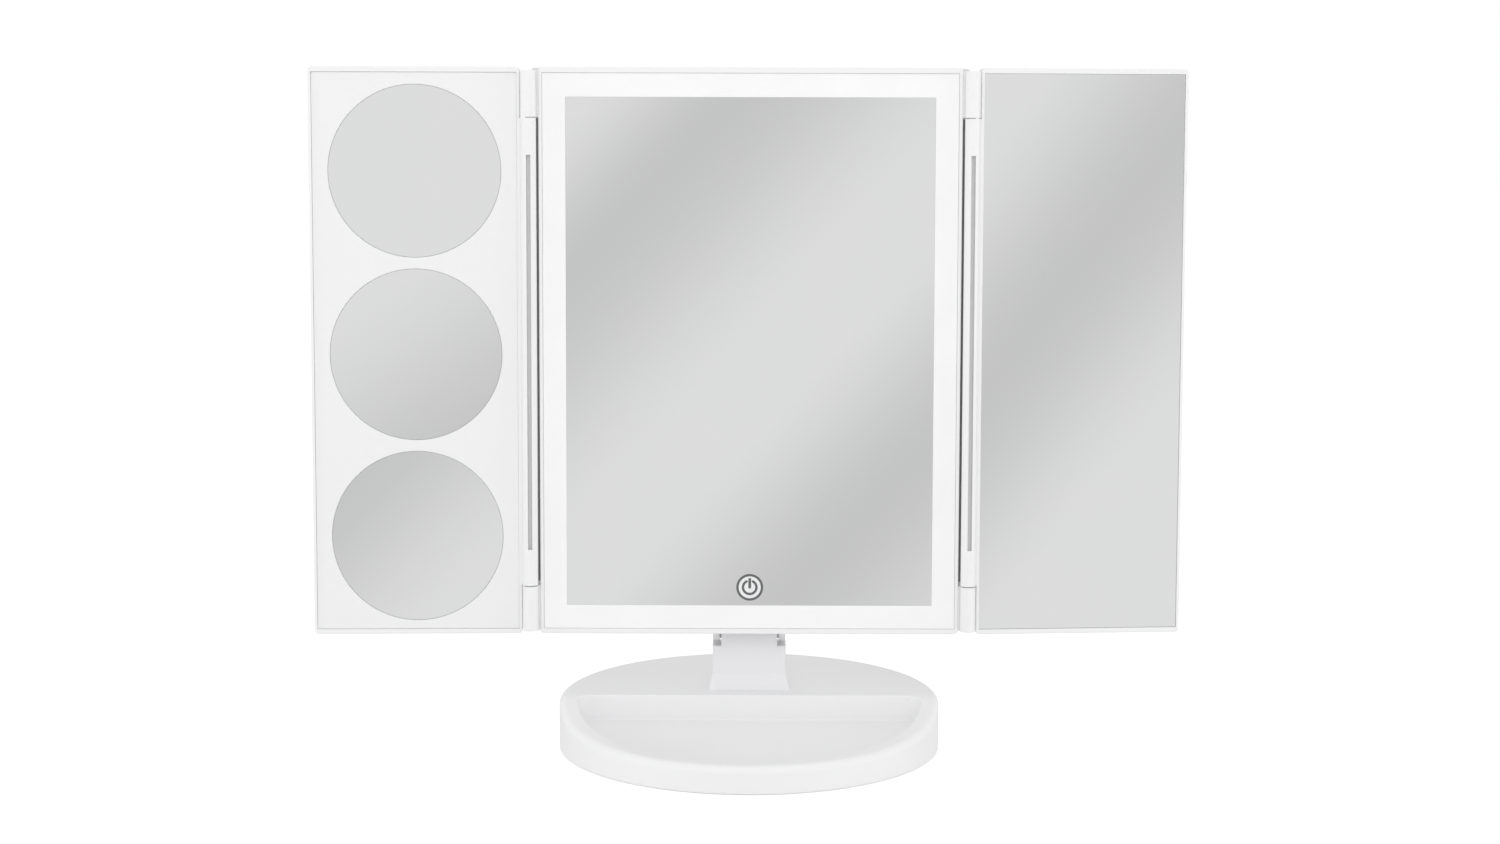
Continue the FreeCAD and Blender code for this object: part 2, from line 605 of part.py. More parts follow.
def make_base_underside():
    plate = new_body("base_bottom_plate")
    add(plate, "disc", "XY", SHELL_BOTTOM, PLATE_TOP,
        circle, "0", "0", "base_radius - base_wall - plate_gap")
    cut(plate, "foot_pockets", "XY", "0", f"{SHELL_BOTTOM} + foot_recess",
        circles, FEET, "foot_radius + plate_gap")
    cut(plate, "screw_holes", "XY", "0", f"{PLATE_TOP} + cut_margin",
        circles, PLATE_SCREWS, "screw_radius + screw_gap")
    cut(plate, "screw_recesses", "XY", "0", f"{SHELL_BOTTOM} + base_plate_thick / 2",
        circles, PLATE_SCREWS, "screw_head_radius + screw_gap")
    feet = []
    for index, (across, up) in enumerate(FEET, start=1):
        feet.append(primitive("Cylinder", f"foot_{index}", at(across, up, "0"),
                              Radius="foot_radius", Height=f"{SHELL_BOTTOM} + foot_recess"))
    group("base_feet", feet)
    screws = []
    for index, (across, up) in enumerate(PLATE_SCREWS, start=1):
        place = at(across, up, f"{SHELL_BOTTOM} + base_plate_thick / 2")
        screws.append(screw(f"plate_screw_{index}", place, "plate_screw_length"))
    group("base_plate_screws", screws)
    ballast = new_body("base_ballast")
    add(ballast, "slab", "XY", PLATE_TOP, f"{PLATE_TOP} + ballast_thick",
        half_round, "(base_radius - ballast_inset)", f"({REAR_WALL} + ballast_gap)", 1)


# ---------------------------------------------------------------------------------------------
# Neck: a hollow column on the deck, closed by a rear cover, whose tongue carries the tilt shaft
# ---------------------------------------------------------------------------------------------
def make_neck():
    half = "neck_width / 2"
    depth = "neck_depth / 2"
    column = new_body("neck_column", NECK_PLACE)
    add(column, "shaft", "XY", "deck_height", SHOULDER, rectangle, f"-{half}", half, f"-{depth}", depth)
    round_off(column, "upright_edges", "neck_rounding", upright)
    wide = new_sketch(column, "XY", "foot_outline", "deck_height")
    rounded_rectangle(wide, f"-{half} - neck_flare", f"{half} + neck_flare", f"-{depth} - neck_flare",
                      f"{depth} + neck_flare", "neck_rounding")
    narrow = new_sketch(column, "XY", "ankle_outline", "deck_height + flare_height")
    rounded_rectangle(narrow, f"-{half}", half, f"-{depth}", depth, "neck_rounding")
    foot = column.newObject("PartDesign::AdditiveLoft", "foot")
    foot.Profile = wide
    foot.Sections = [narrow]
    doc.recompute()
    add(column, "tongue", "YZ", "-tongue_width / 2", "tongue_width / 2",
        rectangle, f"-{depth}", depth, f"{SHOULDER} - neck_wall", "tilt_height")
    add(column, "barrel", "YZ", "-tongue_width / 2", "tongue_width / 2", circle, "0", "tilt_height", depth)
    cut(column, "shaft_bore", "YZ", "-tongue_width / 2 - cut_margin", "tongue_width / 2 + cut_margin",
        circle, "0", "tilt_height", "shaft_radius + press_gap")
    window = (f"-{half} + neck_wall", f"{half} - neck_wall",
              "deck_height + neck_wall", f"{SHOULDER} - neck_wall")
    cut(column, "hollow", "XZ", f"-{depth} + neck_wall", f"{depth} + cut_margin", rectangle, *window)
    cut(column, "screw_holes", "XY", "deck_height - cut_margin", "deck_height + neck_wall + cut_margin",
        circles, [(f"{side} * neck_width / 4", "0") for side in (-1, 1)], "screw_radius + screw_gap")
    cover = new_body("neck_rear_cover", NECK_PLACE)
    left, right, bottom, top = window
    add(cover, "plate", "XZ", f"{depth} - cover_thick", depth, rectangle, f"{left} + cover_gap",
        f"{right} - cover_gap", f"{bottom} + cover_gap", f"{top} - cover_gap")
    round_off(cover, "rear_edges", "cover_gap", flat_at("y", depth), "Chamfer")
    screws = []
    for index, side in enumerate((-1, 1), start=1):
        place = at(f"{side} * neck_width / 4", "tilt_setback", NECK_SEAT)
        length = f"deck_height - {NECK_SEAT} + neck_wall - screw_gap"
        screws.append(screw(f"neck_screw_{index}", place, length))
    group("neck_screws", screws)


def make_tilt_joint():
    """Steel shaft held in the neck's tongue; the housing's ears turn on its ends against washers."""
    shaft = primitive("Cylinder", "tilt_shaft", at(f"-{EAR_OUTER} + screw_gap", "tilt_setback", "tilt_height",
                      "0; 1; 0", "90"), Radius="shaft_radius", Height=f"2 * ({EAR_OUTER} - screw_gap)")
    shaft.Label = "tilt_shaft"
    nodes.append(shaft)
    washers = []
    for index, side in enumerate((-1, 1), start=1):
        start = f"{side} * (tongue_width / 2 + ear_gap / 2) - washer_thick / 2"
        disc = primitive("Cylinder", f"washer_{index}_disc", at(start, "tilt_setback", "tilt_height",
                         "0; 1; 0", "90"), Radius="washer_radius", Height="washer_thick")
        hole = primitive("Cylinder", f"washer_{index}_hole", at(f"{start} - cut_margin", "tilt_setback",
                         "tilt_height", "0; 1; 0", "90"), Radius="shaft_radius + shaft_play",
                         Height="washer_thick + 2 * cut_margin")
        washer = doc.addObject("Part::Cut", f"washer_{index}")
        washer.Base = disc
        washer.Tool = hole
        washers.append(washer)
    group("tilt_washers", washers)


# ---------------------------------------------------------------------------------------------
# Centre panel: front frame with the outer hinge knuckles, diffuser, mirror and lights
# ---------------------------------------------------------------------------------------------
def frame_rectangle(sketch, inset_side, inset_end):
    """A rectangle set in from the centre frame's outline."""
    rectangle(sketch, f"-frame_width / 2 + {inset_side}", f"frame_width / 2 - {inset_side}",
              f"({inset_end})", f"frame_height - {inset_end}")


def frame_outline(sketch, overhang):
    """The centre panel's front view, wider by an overhang on each side."""
    rounded_rectangle(sketch, f"-frame_width / 2 - {overhang}", f"frame_width / 2 + {overhang}",
                      "0", "frame_height", "frame_corner")


def make_front_frame():
    frame = new_body("front_frame", PANEL_PLACE)
    add(frame, "block", "XZ", "-lip_proud", "frame_depth", frame_outline, "0")
    round_off(frame, "front_edge", "edge_rounding", flat_at("y", "-lip_proud"))
    cut(frame, "face_opening", "XZ", "-lip_proud - cut_margin", "diffuser_thick",
        frame_rectangle, "lip_side", "lip_end")
    cut(frame, "ledge_opening", "XZ", "diffuser_thick - cut_margin", "frame_depth + cut_margin",
        frame_rectangle, "(lip_side + ledge_width)", "(lip_end + ledge_width)")
    cut(frame, "light_space", "XZ", "diffuser_thick + ledge_thick", "frame_depth + cut_margin",
        frame_rectangle, "lip_side", "lip_end")
    corners = corner_places()
    add(frame, "screw_posts", "XZ", "diffuser_thick", "frame_depth - tongue_thick",
        circles, corners, "screw_radius + tongue_thick + screw_gap")
    cut(frame, "screw_post_holes", "XZ", "diffuser_thick + ledge_thick", "frame_depth + cut_margin",
        circles, corners, "screw_radius + screw_gap")
    for side, hand in ((-1, "left"), (1, "right")):
        centre = f"{side} * {HINGE_OFFSET}"
        for end, low, high in (
            ("lower", "knuckle_inset", "knuckle_inset + knuckle_length"),
            ("upper", "frame_height - knuckle_inset - knuckle_length", "frame_height - knuckle_inset"),
        ):
            name = f"{hand}_{end}"
            add(frame, name + "_knuckle", "XY", low, high, circle, centre, "-hinge_front", "knuckle_radius")
            web = outward(side, "frame_width / 2 - lip_side / 2", HINGE_OFFSET)
            add(frame, name + "_web", "XY", low, high, rectangle, *web, "0",
                "knuckle_radius - hinge_front - web_step")
            if end == "upper":
                bore = (f"({low}) - cut_margin", f"({high}) - pin_cap")
            else:
                bore = (f"({low}) + pin_cap", f"({high}) + cut_margin")
            cut(frame, name + "_bore", "XY", *bore, circle, centre, "-hinge_front", "pin_radius + press_gap")


def corner_places():
    """The four screws that hold the rear housing to the front frame."""
    return [
        (f"{side} * (frame_width / 2 - corner_screw_inset)", height)
        for side in (-1, 1)
        for height in ("corner_screw_inset", "frame_height - corner_screw_inset")
    ]


def make_mirror_stack():
    diffuser = new_body("light_diffuser", PANEL_PLACE)
    add(diffuser, "pane", "XZ", "0", "diffuser_thick", frame_rectangle,
        "(lip_side + seat_gap)", "(lip_end + seat_gap)")
    cut(diffuser, "mirror_seat", "XZ", "-cut_margin", "glass_thick", frame_rectangle,
        f"({MIRROR_SIDE} - seat_gap / 2)", f"({MIRROR_END} - seat_gap / 2)")
    mirror = new_body("centre_mirror", PANEL_PLACE)
    add(mirror, "glass", "XZ", "0", "glass_thick", frame_rectangle, MIRROR_SIDE, MIRROR_END)
    key = new_body("touch_sensor_pad", PANEL_PLACE)
    add(key, "disc", "XZ", "diffuser_thick", "diffuser_thick + key_pad_thick",
        circle, "0", "key_height", "key_pad_radius")


def make_lights():
    """Four narrow boards behind the diffuser's border, each with a row of light chips."""
    boards = []
    chips = []
    board_half = "led_board_width / 2"
    rows = []
    for name, side in (("left", -1), ("right", 1)):
        across = f"{side} * {STRIP_SIDE}"
        length = "frame_height - 2 * strip_end_gap"
        boards.append(primitive("Box", f"light_board_{name}",
                                at(f"{across} - {board_half}", LED_BOARD_FRONT, "strip_end_gap"),
                                Length="led_board_width", Width="led_board_thick", Height=length))
        rows.append((name, across, "frame_height / 2", "0", "1", length))
    for name, up in (("bottom", STRIP_END), ("top", f"frame_height - {STRIP_END}")):
        length = "frame_width - 2 * strip_end_gap"
        boards.append(primitive("Box", f"light_board_{name}",
                                at(f"-({length}) / 2", LED_BOARD_FRONT, f"{up} - {board_half}"),
                                Length=length, Width="led_board_thick", Height="led_board_width"))
        rows.append((name, "0", up, "1", "0", length))
    for name, across, up, along_x, along_z, length in rows:
        count = int((number(length) - number("led_size")) / number("led_pitch")) + 1
        for index in range(count):
            step = f"({index} - {count - 1} / 2) * led_pitch"
            place = at(f"{across} + {along_x} * {step} - led_size / 2", f"{LED_BOARD_FRONT} - led_height",
                       f"{up} + {along_z} * {step} - led_size / 2")
            chips.append(primitive("Box", f"light_chip_{name}_{index + 1}", place,
                                   Length="led_size", Width="led_height", Height="led_size"))
    group("light_boards", boards, PANEL_PLACE)
    group("light_chips", chips, PANEL_PLACE)
    reflector = new_body("reflector_sheet", PANEL_PLACE)
    add(reflector, "sheet", "XZ", REFLECTOR_FRONT, REFLECTOR_BACK, frame_rectangle,
        "(2 * corner_screw_inset - lip_side)", "(lip_end + seat_gap)")
    for side, hand in ((-1, "left"), (1, "right")):
        edge = outward(side, "frame_width / 2 - 2 * corner_screw_inset",
                       "frame_width / 2 - lip_side - seat_gap")
        add(reflector, hand + "_side", "XZ", REFLECTOR_FRONT, REFLECTOR_BACK, rectangle, *edge,
            "2 * corner_screw_inset", "frame_height - 2 * corner_screw_inset")
    cut(reflector, "spring_hole", "XZ", f"{REFLECTOR_FRONT} - cut_margin", f"{REFLECTOR_BACK} + cut_margin",
        circle, "0", "key_height", "key_pad_radius")


# ---------------------------------------------------------------------------------------------
# Rear housing: back shell with the battery and circuit bulge and the two ears of the tilt joint
# ---------------------------------------------------------------------------------------------
BOX_WALL = "(door_margin + door_gap + contact_thick)"
CIRCUIT_POSTS = [
    (f"{side} * (board_width / 2 - screw_head_radius * 2)", f"{BOARD_BOTTOM} + {height}")
    for side in (-1, 1)
    for height in ("screw_head_radius * 2", "board_height - screw_head_radius * 2")
]
BOARD_BACK = "(board_depth + board_thick)"
INLET_CENTRE = f"({BOARD_BOTTOM} + board_height / 2)"
DOOR_SIDE = f"({BOX_HALF} + door_margin)"
DOOR_PIVOT = ("bulge_depth - door_thick / 2", f"{BOX_BOTTOM} - door_margin + door_thick / 2")


def rectangles(sketch, boxes):
    for box in boxes:
        rectangle(sketch, *box)


def ring_rectangles(sketch, inset_side, inset_end, width):
    frame_rectangle(sketch, inset_side, inset_end)
    frame_rectangle(sketch, f"({inset_side} + {width})", f"({inset_end} + {width})")


def ear_outline(sketch):
    """An arm that leaves the housing's back and ends in a round eye, both edges tangent to the eye."""
    eye = (number("tilt_back"), -number("tilt_drop"))
    radius = number("neck_depth / 2")
    root = number("panel_depth - housing_wall / 2")
    roots = ((root, number("housing_rounding")), (root, number("bulge_bottom")))
    touch = []
    for (y, z), side in zip(roots, (1, -1)):
        away = math.hypot(eye[0] - y, eye[1] - z)
        heading = math.atan2(z - eye[1], y - eye[0])
        touch.append(heading + side * math.acos(radius / away))
    lower, upper = touch
    eye_arc = arc(sketch, eye, radius, lower, upper + 2 * math.pi)
    start = (eye[0] + radius * math.cos(lower), eye[1] + radius * math.sin(lower))
    end = (eye[0] + radius * math.cos(upper), eye[1] + radius * math.sin(upper))
    low_edge = line(sketch, roots[0], start)
    high_edge = line(sketch, end, roots[1])
    back = line(sketch, roots[1], roots[0])
    sketch.addConstraint(Sketcher.Constraint("Tangent", low_edge, 2, eye_arc, 1))
    sketch.addConstraint(Sketcher.Constraint("Tangent", eye_arc, 2, high_edge, 1))
    sketch.addConstraint(Sketcher.Constraint("Coincident", high_edge, 2, back, 1))
    sketch.addConstraint(Sketcher.Constraint("Coincident", back, 2, low_edge, 1))
    hold(sketch, "Radius", eye_arc, "neck_depth / 2")
    hold_point(sketch, eye_arc, 3, "tilt_back", "-tilt_drop")
    hold_point(sketch, low_edge, 1, "panel_depth - housing_wall / 2", "housing_rounding")
    hold_point(sketch, back, 1, "panel_depth - housing_wall / 2", "bulge_bottom")


def make_rear_housing():
    housing = new_body("rear_housing", PANEL_PLACE)
    half = "bulge_width / 2"
    inner_back = "(panel_depth - housing_wall)"
    tongue_in = "(lip_side + seat_gap)"
    tongue_end = "(lip_end + seat_gap)"
    add(housing, "plate", "XZ", "frame_depth", "panel_depth", frame_outline, "housing_overhang")
    round_off(housing, "rear_rounding", "housing_rounding", flat_at("y", "panel_depth"))
    cut(housing, "plate_hollow", "XZ", "frame_depth - cut_margin", inner_back, frame_rectangle,
        f"({tongue_in} + tongue_thick)", f"({tongue_end} + tongue_thick)")
    add(housing, "bulge", "XZ", "panel_depth - housing_wall / 2", "bulge_depth", rounded_rectangle,
        f"-{half}", half, "bulge_bottom", "bulge_top", "bulge_corner")
    round_off(housing, "bulge_edge", "bulge_rounding", flat_at("y", "bulge_depth"))
    cut(housing, "bulge_hollow", "XZ", "frame_depth", "bulge_depth - housing_wall", rounded_rectangle,
        f"-{half} + housing_wall", f"{half} - housing_wall", "bulge_bottom + housing_wall",
        "bulge_top - housing_wall", "bulge_corner - housing_wall")
    add(housing, "tongue", "XZ", REFLECTOR_BACK, "frame_depth",
        ring_rectangles, tongue_in, tongue_end, "tongue_thick")
    add(housing, "cell_box", "XZ", f"{CELL_FLOOR} - cell_floor_thick", "bulge_depth - housing_wall / 2",
        rectangle, f"-{BOX_HALF} - {BOX_WALL}", f"{BOX_HALF} + {BOX_WALL}", f"{BOX_BOTTOM} - {BOX_WALL}",
        f"{BOX_TOP} + {BOX_WALL}")
    cut(housing, "cell_space", "XZ", CELL_FLOOR, "bulge_depth + cut_margin", rectangle,
        f"-{BOX_HALF}", BOX_HALF, BOX_BOTTOM, BOX_TOP)
    reach = "(door_margin + door_gap)"
    cut(housing, "door_seat", "XZ", "bulge_depth - door_thick", "bulge_depth + cut_margin", rectangle,
        f"-{BOX_HALF} - {reach}", f"{BOX_HALF} + {reach}", f"{BOX_BOTTOM} - {reach}", f"{BOX_TOP} + {reach}")
    pivot_end = f"{DOOR_SIDE} + 2 * door_gap + pivot_reach"
    cut(housing, "door_pivot_holes", "YZ", f"-({pivot_end})", pivot_end,
        circle, *DOOR_PIVOT, "pivot_radius + shaft_play")
    posts = corner_places()
    add(housing, "screw_bosses", "XZ", "frame_depth - tongue_thick", f"{inner_back} + housing_wall / 2",
        circles, posts, "screw_head_radius + tongue_thick + screw_gap")
    cut(housing, "screw_recesses", "XZ", "frame_depth", "panel_depth + cut_margin", circles, posts,
        "screw_head_radius + screw_gap")
    cut(housing, "screw_holes", "XZ", "frame_depth - 2 * tongue_thick", "panel_depth", circles, posts,
        "screw_radius + screw_gap")
    ribs = []
    for share in ("rib_inner_share", "rib_outer_share"):
        for side in (-1, 1):
            middle = f"{side} * {share} * frame_width"
            ribs.append((f"{middle} - tongue_thick / 2", f"{middle} + tongue_thick / 2",
                         "2 * corner_screw_inset", "frame_height - 2 * corner_screw_inset"))
    for side in (-1, 0, 1):
        middle = f"{side} * bulge_width / 3"
        ribs.append((f"{middle} - tongue_thick / 2", f"{middle} + tongue_thick / 2",
                     "bulge_top + tongue_thick", "frame_height - 2 * corner_screw_inset"))
    add(housing, "reflector_ribs", "XZ", REFLECTOR_BACK, f"{inner_back} + housing_wall / 2", rectangles, ribs)
    add(housing, "circuit_posts", "XZ", BOARD_BACK, "bulge_depth - housing_wall / 2",
        circles, CIRCUIT_POSTS, "screw_radius + tongue_thick")
    cut(housing, "circuit_post_holes", "XZ", f"{BOARD_BACK} - cut_margin", "bulge_depth - housing_wall",
        circles, CIRCUIT_POSTS, "screw_radius + screw_gap")
    cut(housing, "inlet_opening", "YZ", f"{half} - housing_wall - cut_margin", f"{half} + cut_margin",
        rectangle, f"{BOARD_BACK} - door_gap", f"{BOARD_BACK} + inlet_height + door_gap",
        f"{INLET_CENTRE} - inlet_width / 2 - door_gap", f"{INLET_CENTRE} + inlet_width / 2 + door_gap")
    for side, hand in ((-1, "left"), (1, "right")):
        sides = outward(side, EAR_INNER, EAR_OUTER)
        add(housing, hand + "_ear", "YZ", *sides, ear_outline)
        cut(housing, hand + "_ear_bore", "YZ", f"{sides[0]} - cut_margin", f"{sides[1]} + cut_margin",
            circle, "tilt_back", "-tilt_drop", "shaft_radius + shaft_play")
    screws = []
    for index, (across, up) in enumerate(posts, start=1):
        place = at(across, "frame_depth", up, "1; 0; 0", "90")
        length = "frame_depth - diffuser_thick - ledge_thick - screw_gap"
        screws.append(screw(f"housing_screw_{index}", place, length))
    group("housing_screws", screws, PANEL_PLACE)


# ---------------------------------------------------------------------------------------------
# Inside the bulge: circuit board, power inlet, touch spring, battery cells and their contacts
# ---------------------------------------------------------------------------------------------
def make_electronics():
    board = new_body("circuit_board", PANEL_PLACE)
    add(board, "sheet", "XZ", "board_depth", BOARD_BACK, rectangle, "-board_width / 2", "board_width / 2",
        BOARD_BOTTOM, f"{BOARD_BOTTOM} + board_height")
    cut(board, "screw_holes", "XZ", "board_depth - cut_margin", f"{BOARD_BACK} + cut_margin",
        circles, CIRCUIT_POSTS, "screw_radius + screw_gap")
    screws = []
    for index, (across, up) in enumerate(CIRCUIT_POSTS, start=1):
        place = at(across, "board_depth", up, "1; 0; 0", "-90")
        length = "bulge_depth - housing_wall - board_depth - screw_gap"
        screws.append(screw(f"board_screw_{index}", place, length))
    group("board_screws", screws, PANEL_PLACE)
    inlet = new_body("power_inlet", PANEL_PLACE)
    mouth = "bulge_width / 2"
    add(inlet, "sleeve", "YZ", f"{mouth} - inlet_length", mouth, rectangle,
        BOARD_BACK, f"{BOARD_BACK} + inlet_height",
        f"{INLET_CENTRE} - inlet_width / 2", f"{INLET_CENTRE} + inlet_width / 2")
    round_off(inlet, "sleeve_edges", "inlet_height / 4",
              lambda e: close_to(e.BoundBox.XMax - e.BoundBox.XMin, number("inlet_length")))
    cut(inlet, "mouth", "YZ", f"{mouth} - inlet_length + inlet_wall", f"{mouth} + cut_margin", rectangle,
        f"{BOARD_BACK} + inlet_wall", f"{BOARD_BACK} + inlet_height - inlet_wall",
        f"{INLET_CENTRE} - inlet_width / 2 + inlet_wall", f"{INLET_CENTRE} + inlet_width / 2 - inlet_wall")
    add(inlet, "contact_tongue", "YZ", f"{mouth} - inlet_length", f"{mouth} - inlet_length / 4",
        rectangle, f"{BOARD_BACK} + (inlet_height - inlet_wall) / 2",
        f"{BOARD_BACK} + (inlet_height + inlet_wall) / 2",
        f"{INLET_CENTRE} - inlet_width / 4", f"{INLET_CENTRE} + inlet_width / 4")


def make_touch_spring():
    """A coil spring that joins the sensor pad behind the mirror to the circuit board."""
    back = "diffuser_thick + key_pad_thick"
    spring = new_body("touch_spring", PANEL_PLACE + f" * {at('0', back, 'key_height', '1; 0; 0', '-90')}")
    outline = new_sketch(spring, "XZ", "wire_outline")
    circle(outline, "spring_radius", "spring_wire", "spring_wire")
    coil = spring.newObject("PartDesign::AdditiveHelix", "coil")
    coil.Profile = outline
    coil.ReferenceAxis = (outline, ["V_Axis"])
    coil.Mode = "height-turns-growth"
    coil.Turns = SPRING_TURNS
    coil.setExpression("Height", bound(f"board_depth - ({back}) - 2 * spring_wire"))
    doc.recompute()


def make_battery():
    cells = []
    contacts = []
    for index in range(CELL_COUNT):
        across = f"({index} - {(CELL_COUNT - 1) / 2}) * cell_pitch"
        can = primitive("Cylinder", f"cell_{index + 1}_can", at(across, CELL_DEPTH, "cell_bottom"),
                        Radius="cell_radius", Height="cell_length - contact_thick * 2")
        cap = primitive("Cylinder", f"cell_{index + 1}_cap", at(across, CELL_DEPTH, "cell_bottom"),
                        Radius="cell_cap_radius", Height="cell_length")
        cell = doc.addObject("Part::Fuse", f"cell_{index + 1}")
        cell.Base = can
        cell.Tool = cap
        cells.append(cell)
        left = f"{across} - cell_radius + cell_gap"
        for end, height in (("upper", f"{BOX_TOP} - contact_thick"), ("lower", BOX_BOTTOM)):
            contacts.append(primitive("Box", f"{end}_contact_{index + 1}", at(left, CELL_FLOOR, height),
                                      Length="2 * (cell_radius - cell_gap)", Width="2 * cell_radius",
                                      Height="contact_thick"))
        spring_height = "(contact_space - contact_thick)"
        contacts.append(primitive("Cone", f"contact_spring_{index + 1}",
                                  at(across, CELL_DEPTH, f"{BOX_BOTTOM} + contact_thick"),
                                  Radius1="contact_spring_wide", Radius2="contact_spring_narrow",
                                  Height=spring_height))
        contacts.append(primitive("Cylinder", f"contact_nub_{index + 1}",
                                  at(across, CELL_DEPTH, "cell_bottom + cell_length"),
                                  Radius="contact_nub_radius", Height=spring_height))
    group("battery_cells", cells, PANEL_PLACE)
    group("battery_contacts", contacts, PANEL_PLACE)
    door = new_body("battery_door", PANEL_PLACE)
    door_top = f"{BOX_TOP} + door_margin"
    add(door, "plate", "XZ", "bulge_depth - door_thick", "bulge_depth", rectangle,
        f"-{DOOR_SIDE}", DOOR_SIDE, DOOR_PIVOT[1], door_top)
    round_off(door, "outer_edge", "door_gap", flat_at("y", "bulge_depth"), "Chamfer")
    add(door, "barrel", "YZ", f"-{DOOR_SIDE}", DOOR_SIDE, circle, *DOOR_PIVOT, "door_thick / 2 - barrel_gap")
    stub_end = f"({DOOR_SIDE} + door_gap + pivot_reach)"
    add(door, "pivot_stubs", "YZ", f"-{stub_end}", stub_end, circle, *DOOR_PIVOT, "pivot_radius")
    slots = [
        (*outward(side, "latch_half", "latch_half + latch_slot"), f"{door_top} - latch_length",
         f"{door_top} + cut_margin")
        for side in (-1, 1)
    ]
    cut(door, "latch_slots", "XZ", "bulge_depth - door_thick - cut_margin", "bulge_depth + cut_margin",
        rectangles, slots)
    grips = []
    for step in range(GRIP_COUNT):
        low = f"{BOX_BOTTOM} + grip_start + {step} * grip_pitch"
        grips.append(("-grip_half", "grip_half", low, f"{low} + grip_groove"))
    cut(door, "grip_grooves", "XZ", "bulge_depth - grip_depth", "bulge_depth + cut_margin", rectangles, grips)


# ---------------------------------------------------------------------------------------------
# Wings: each a shell with the long hinge knuckle and an inset pane, on two steel pins
# ---------------------------------------------------------------------------------------------
def wing_rectangle(sketch, side, inset_side, inset_end):
    """A rectangle set in from a wing's outline."""
    sides = outward(side, f"wing_start + {inset_side}", f"{WING_REACH} - {inset_side}")
    rectangle(sketch, *sides, f"({inset_end})", f"frame_height - {inset_end}")


def make_wing_shell(side, hand, place):
    shell = new_body(hand + "_wing_shell", place)
    front = "(hinge_front - lip_proud)"
    sides = outward(side, "wing_start", WING_REACH)
    add(shell, "block", "XZ", front, WING_BACK,
        rounded_rectangle, *sides, "0", "frame_height", "frame_corner")
    round_off(shell, "front_edge", "edge_rounding", flat_at("y", front))
    round_off(shell, "rear_edge", "housing_rounding - edge_rounding", flat_at("y", WING_BACK))
    cut(shell, "pane_seat", "XZ", f"{front} - cut_margin", PANE_BACK, wing_rectangle, side, "wing_rim_side",
        "wing_rim_end")
    cells = []
    pitch_up = f"((frame_height - 2 * wing_rim_end - rib_thick) / {RIB_CELLS_UP})"
    pitch_across = f"(({WING_REACH} - wing_start - 2 * wing_rim_side - rib_thick) / {RIB_CELLS_ACROSS})"
    for i in range(RIB_CELLS_ACROSS):
        for j in range(RIB_CELLS_UP):
            close = f"wing_start + wing_rim_side + rib_thick + {i} * {pitch_across}"
            low = f"wing_rim_end + rib_thick + {j} * {pitch_up}"
            sides = outward(side, close, f"{close} + {pitch_across} - rib_thick")
            cells.append((*sides, low, f"{low} + {pitch_up} - rib_thick"))
    cut(shell, "rib_cells", "XZ", f"{PANE_BACK} - cut_margin", f"{WING_BACK} - wing_wall", rectangles, cells)
    add(shell, "knuckle", "XY", LONG_BOTTOM, LONG_TOP, circle, "0", "0", "knuckle_radius")
    web = outward(side, "0", "wing_start + wing_rim_side / 2")
    add(shell, "web", "XY", LONG_BOTTOM, LONG_TOP, rectangle, *web, "hinge_front - lip_proud",
        "knuckle_radius - web_step")
    for end, low, high in (("lower", f"{LONG_BOTTOM} - cut_margin", f"{LONG_BOTTOM} + pin_reach + pin_cap"),
                           ("upper", f"{LONG_TOP} - pin_reach - pin_cap", f"{LONG_TOP} + cut_margin")):
        cut(shell, end + "_bore", "XY", low, high, circle, "0", "0", "pin_radius + shaft_play")
    cut(shell, "groove", "XZ", "-knuckle_radius - cut_margin", "-knuckle_radius + slot_depth", rectangle,
        "-slot_width / 2", "slot_width / 2", f"{LONG_BOTTOM} + slot_margin", f"{LONG_TOP} - slot_margin")
    length = "(knuckle_length - pin_cap + knuckle_gap + pin_reach)"
    pins = [
        primitive("Cylinder", hand + "_lower_pin", at("0", "0", "knuckle_inset + pin_cap"),
                  Radius="pin_radius", Height=length),
        primitive("Cylinder", hand + "_upper_pin",
                  at("0", "0", f"frame_height - knuckle_inset - pin_cap - {length}"),
                  Radius="pin_radius", Height=length),
    ]
    group(hand + "_hinge_pins", pins, place)


WING_MIDDLE = f"((wing_start + {WING_REACH}) / 2)"
ROUND_PLACES = [
    ("top", f"frame_height / 2 - round_drop + {ROUND_PITCH}", 1),
    ("middle", "frame_height / 2 - round_drop", 2),
    ("bottom", f"frame_height / 2 - round_drop - {ROUND_PITCH}", 3),
]


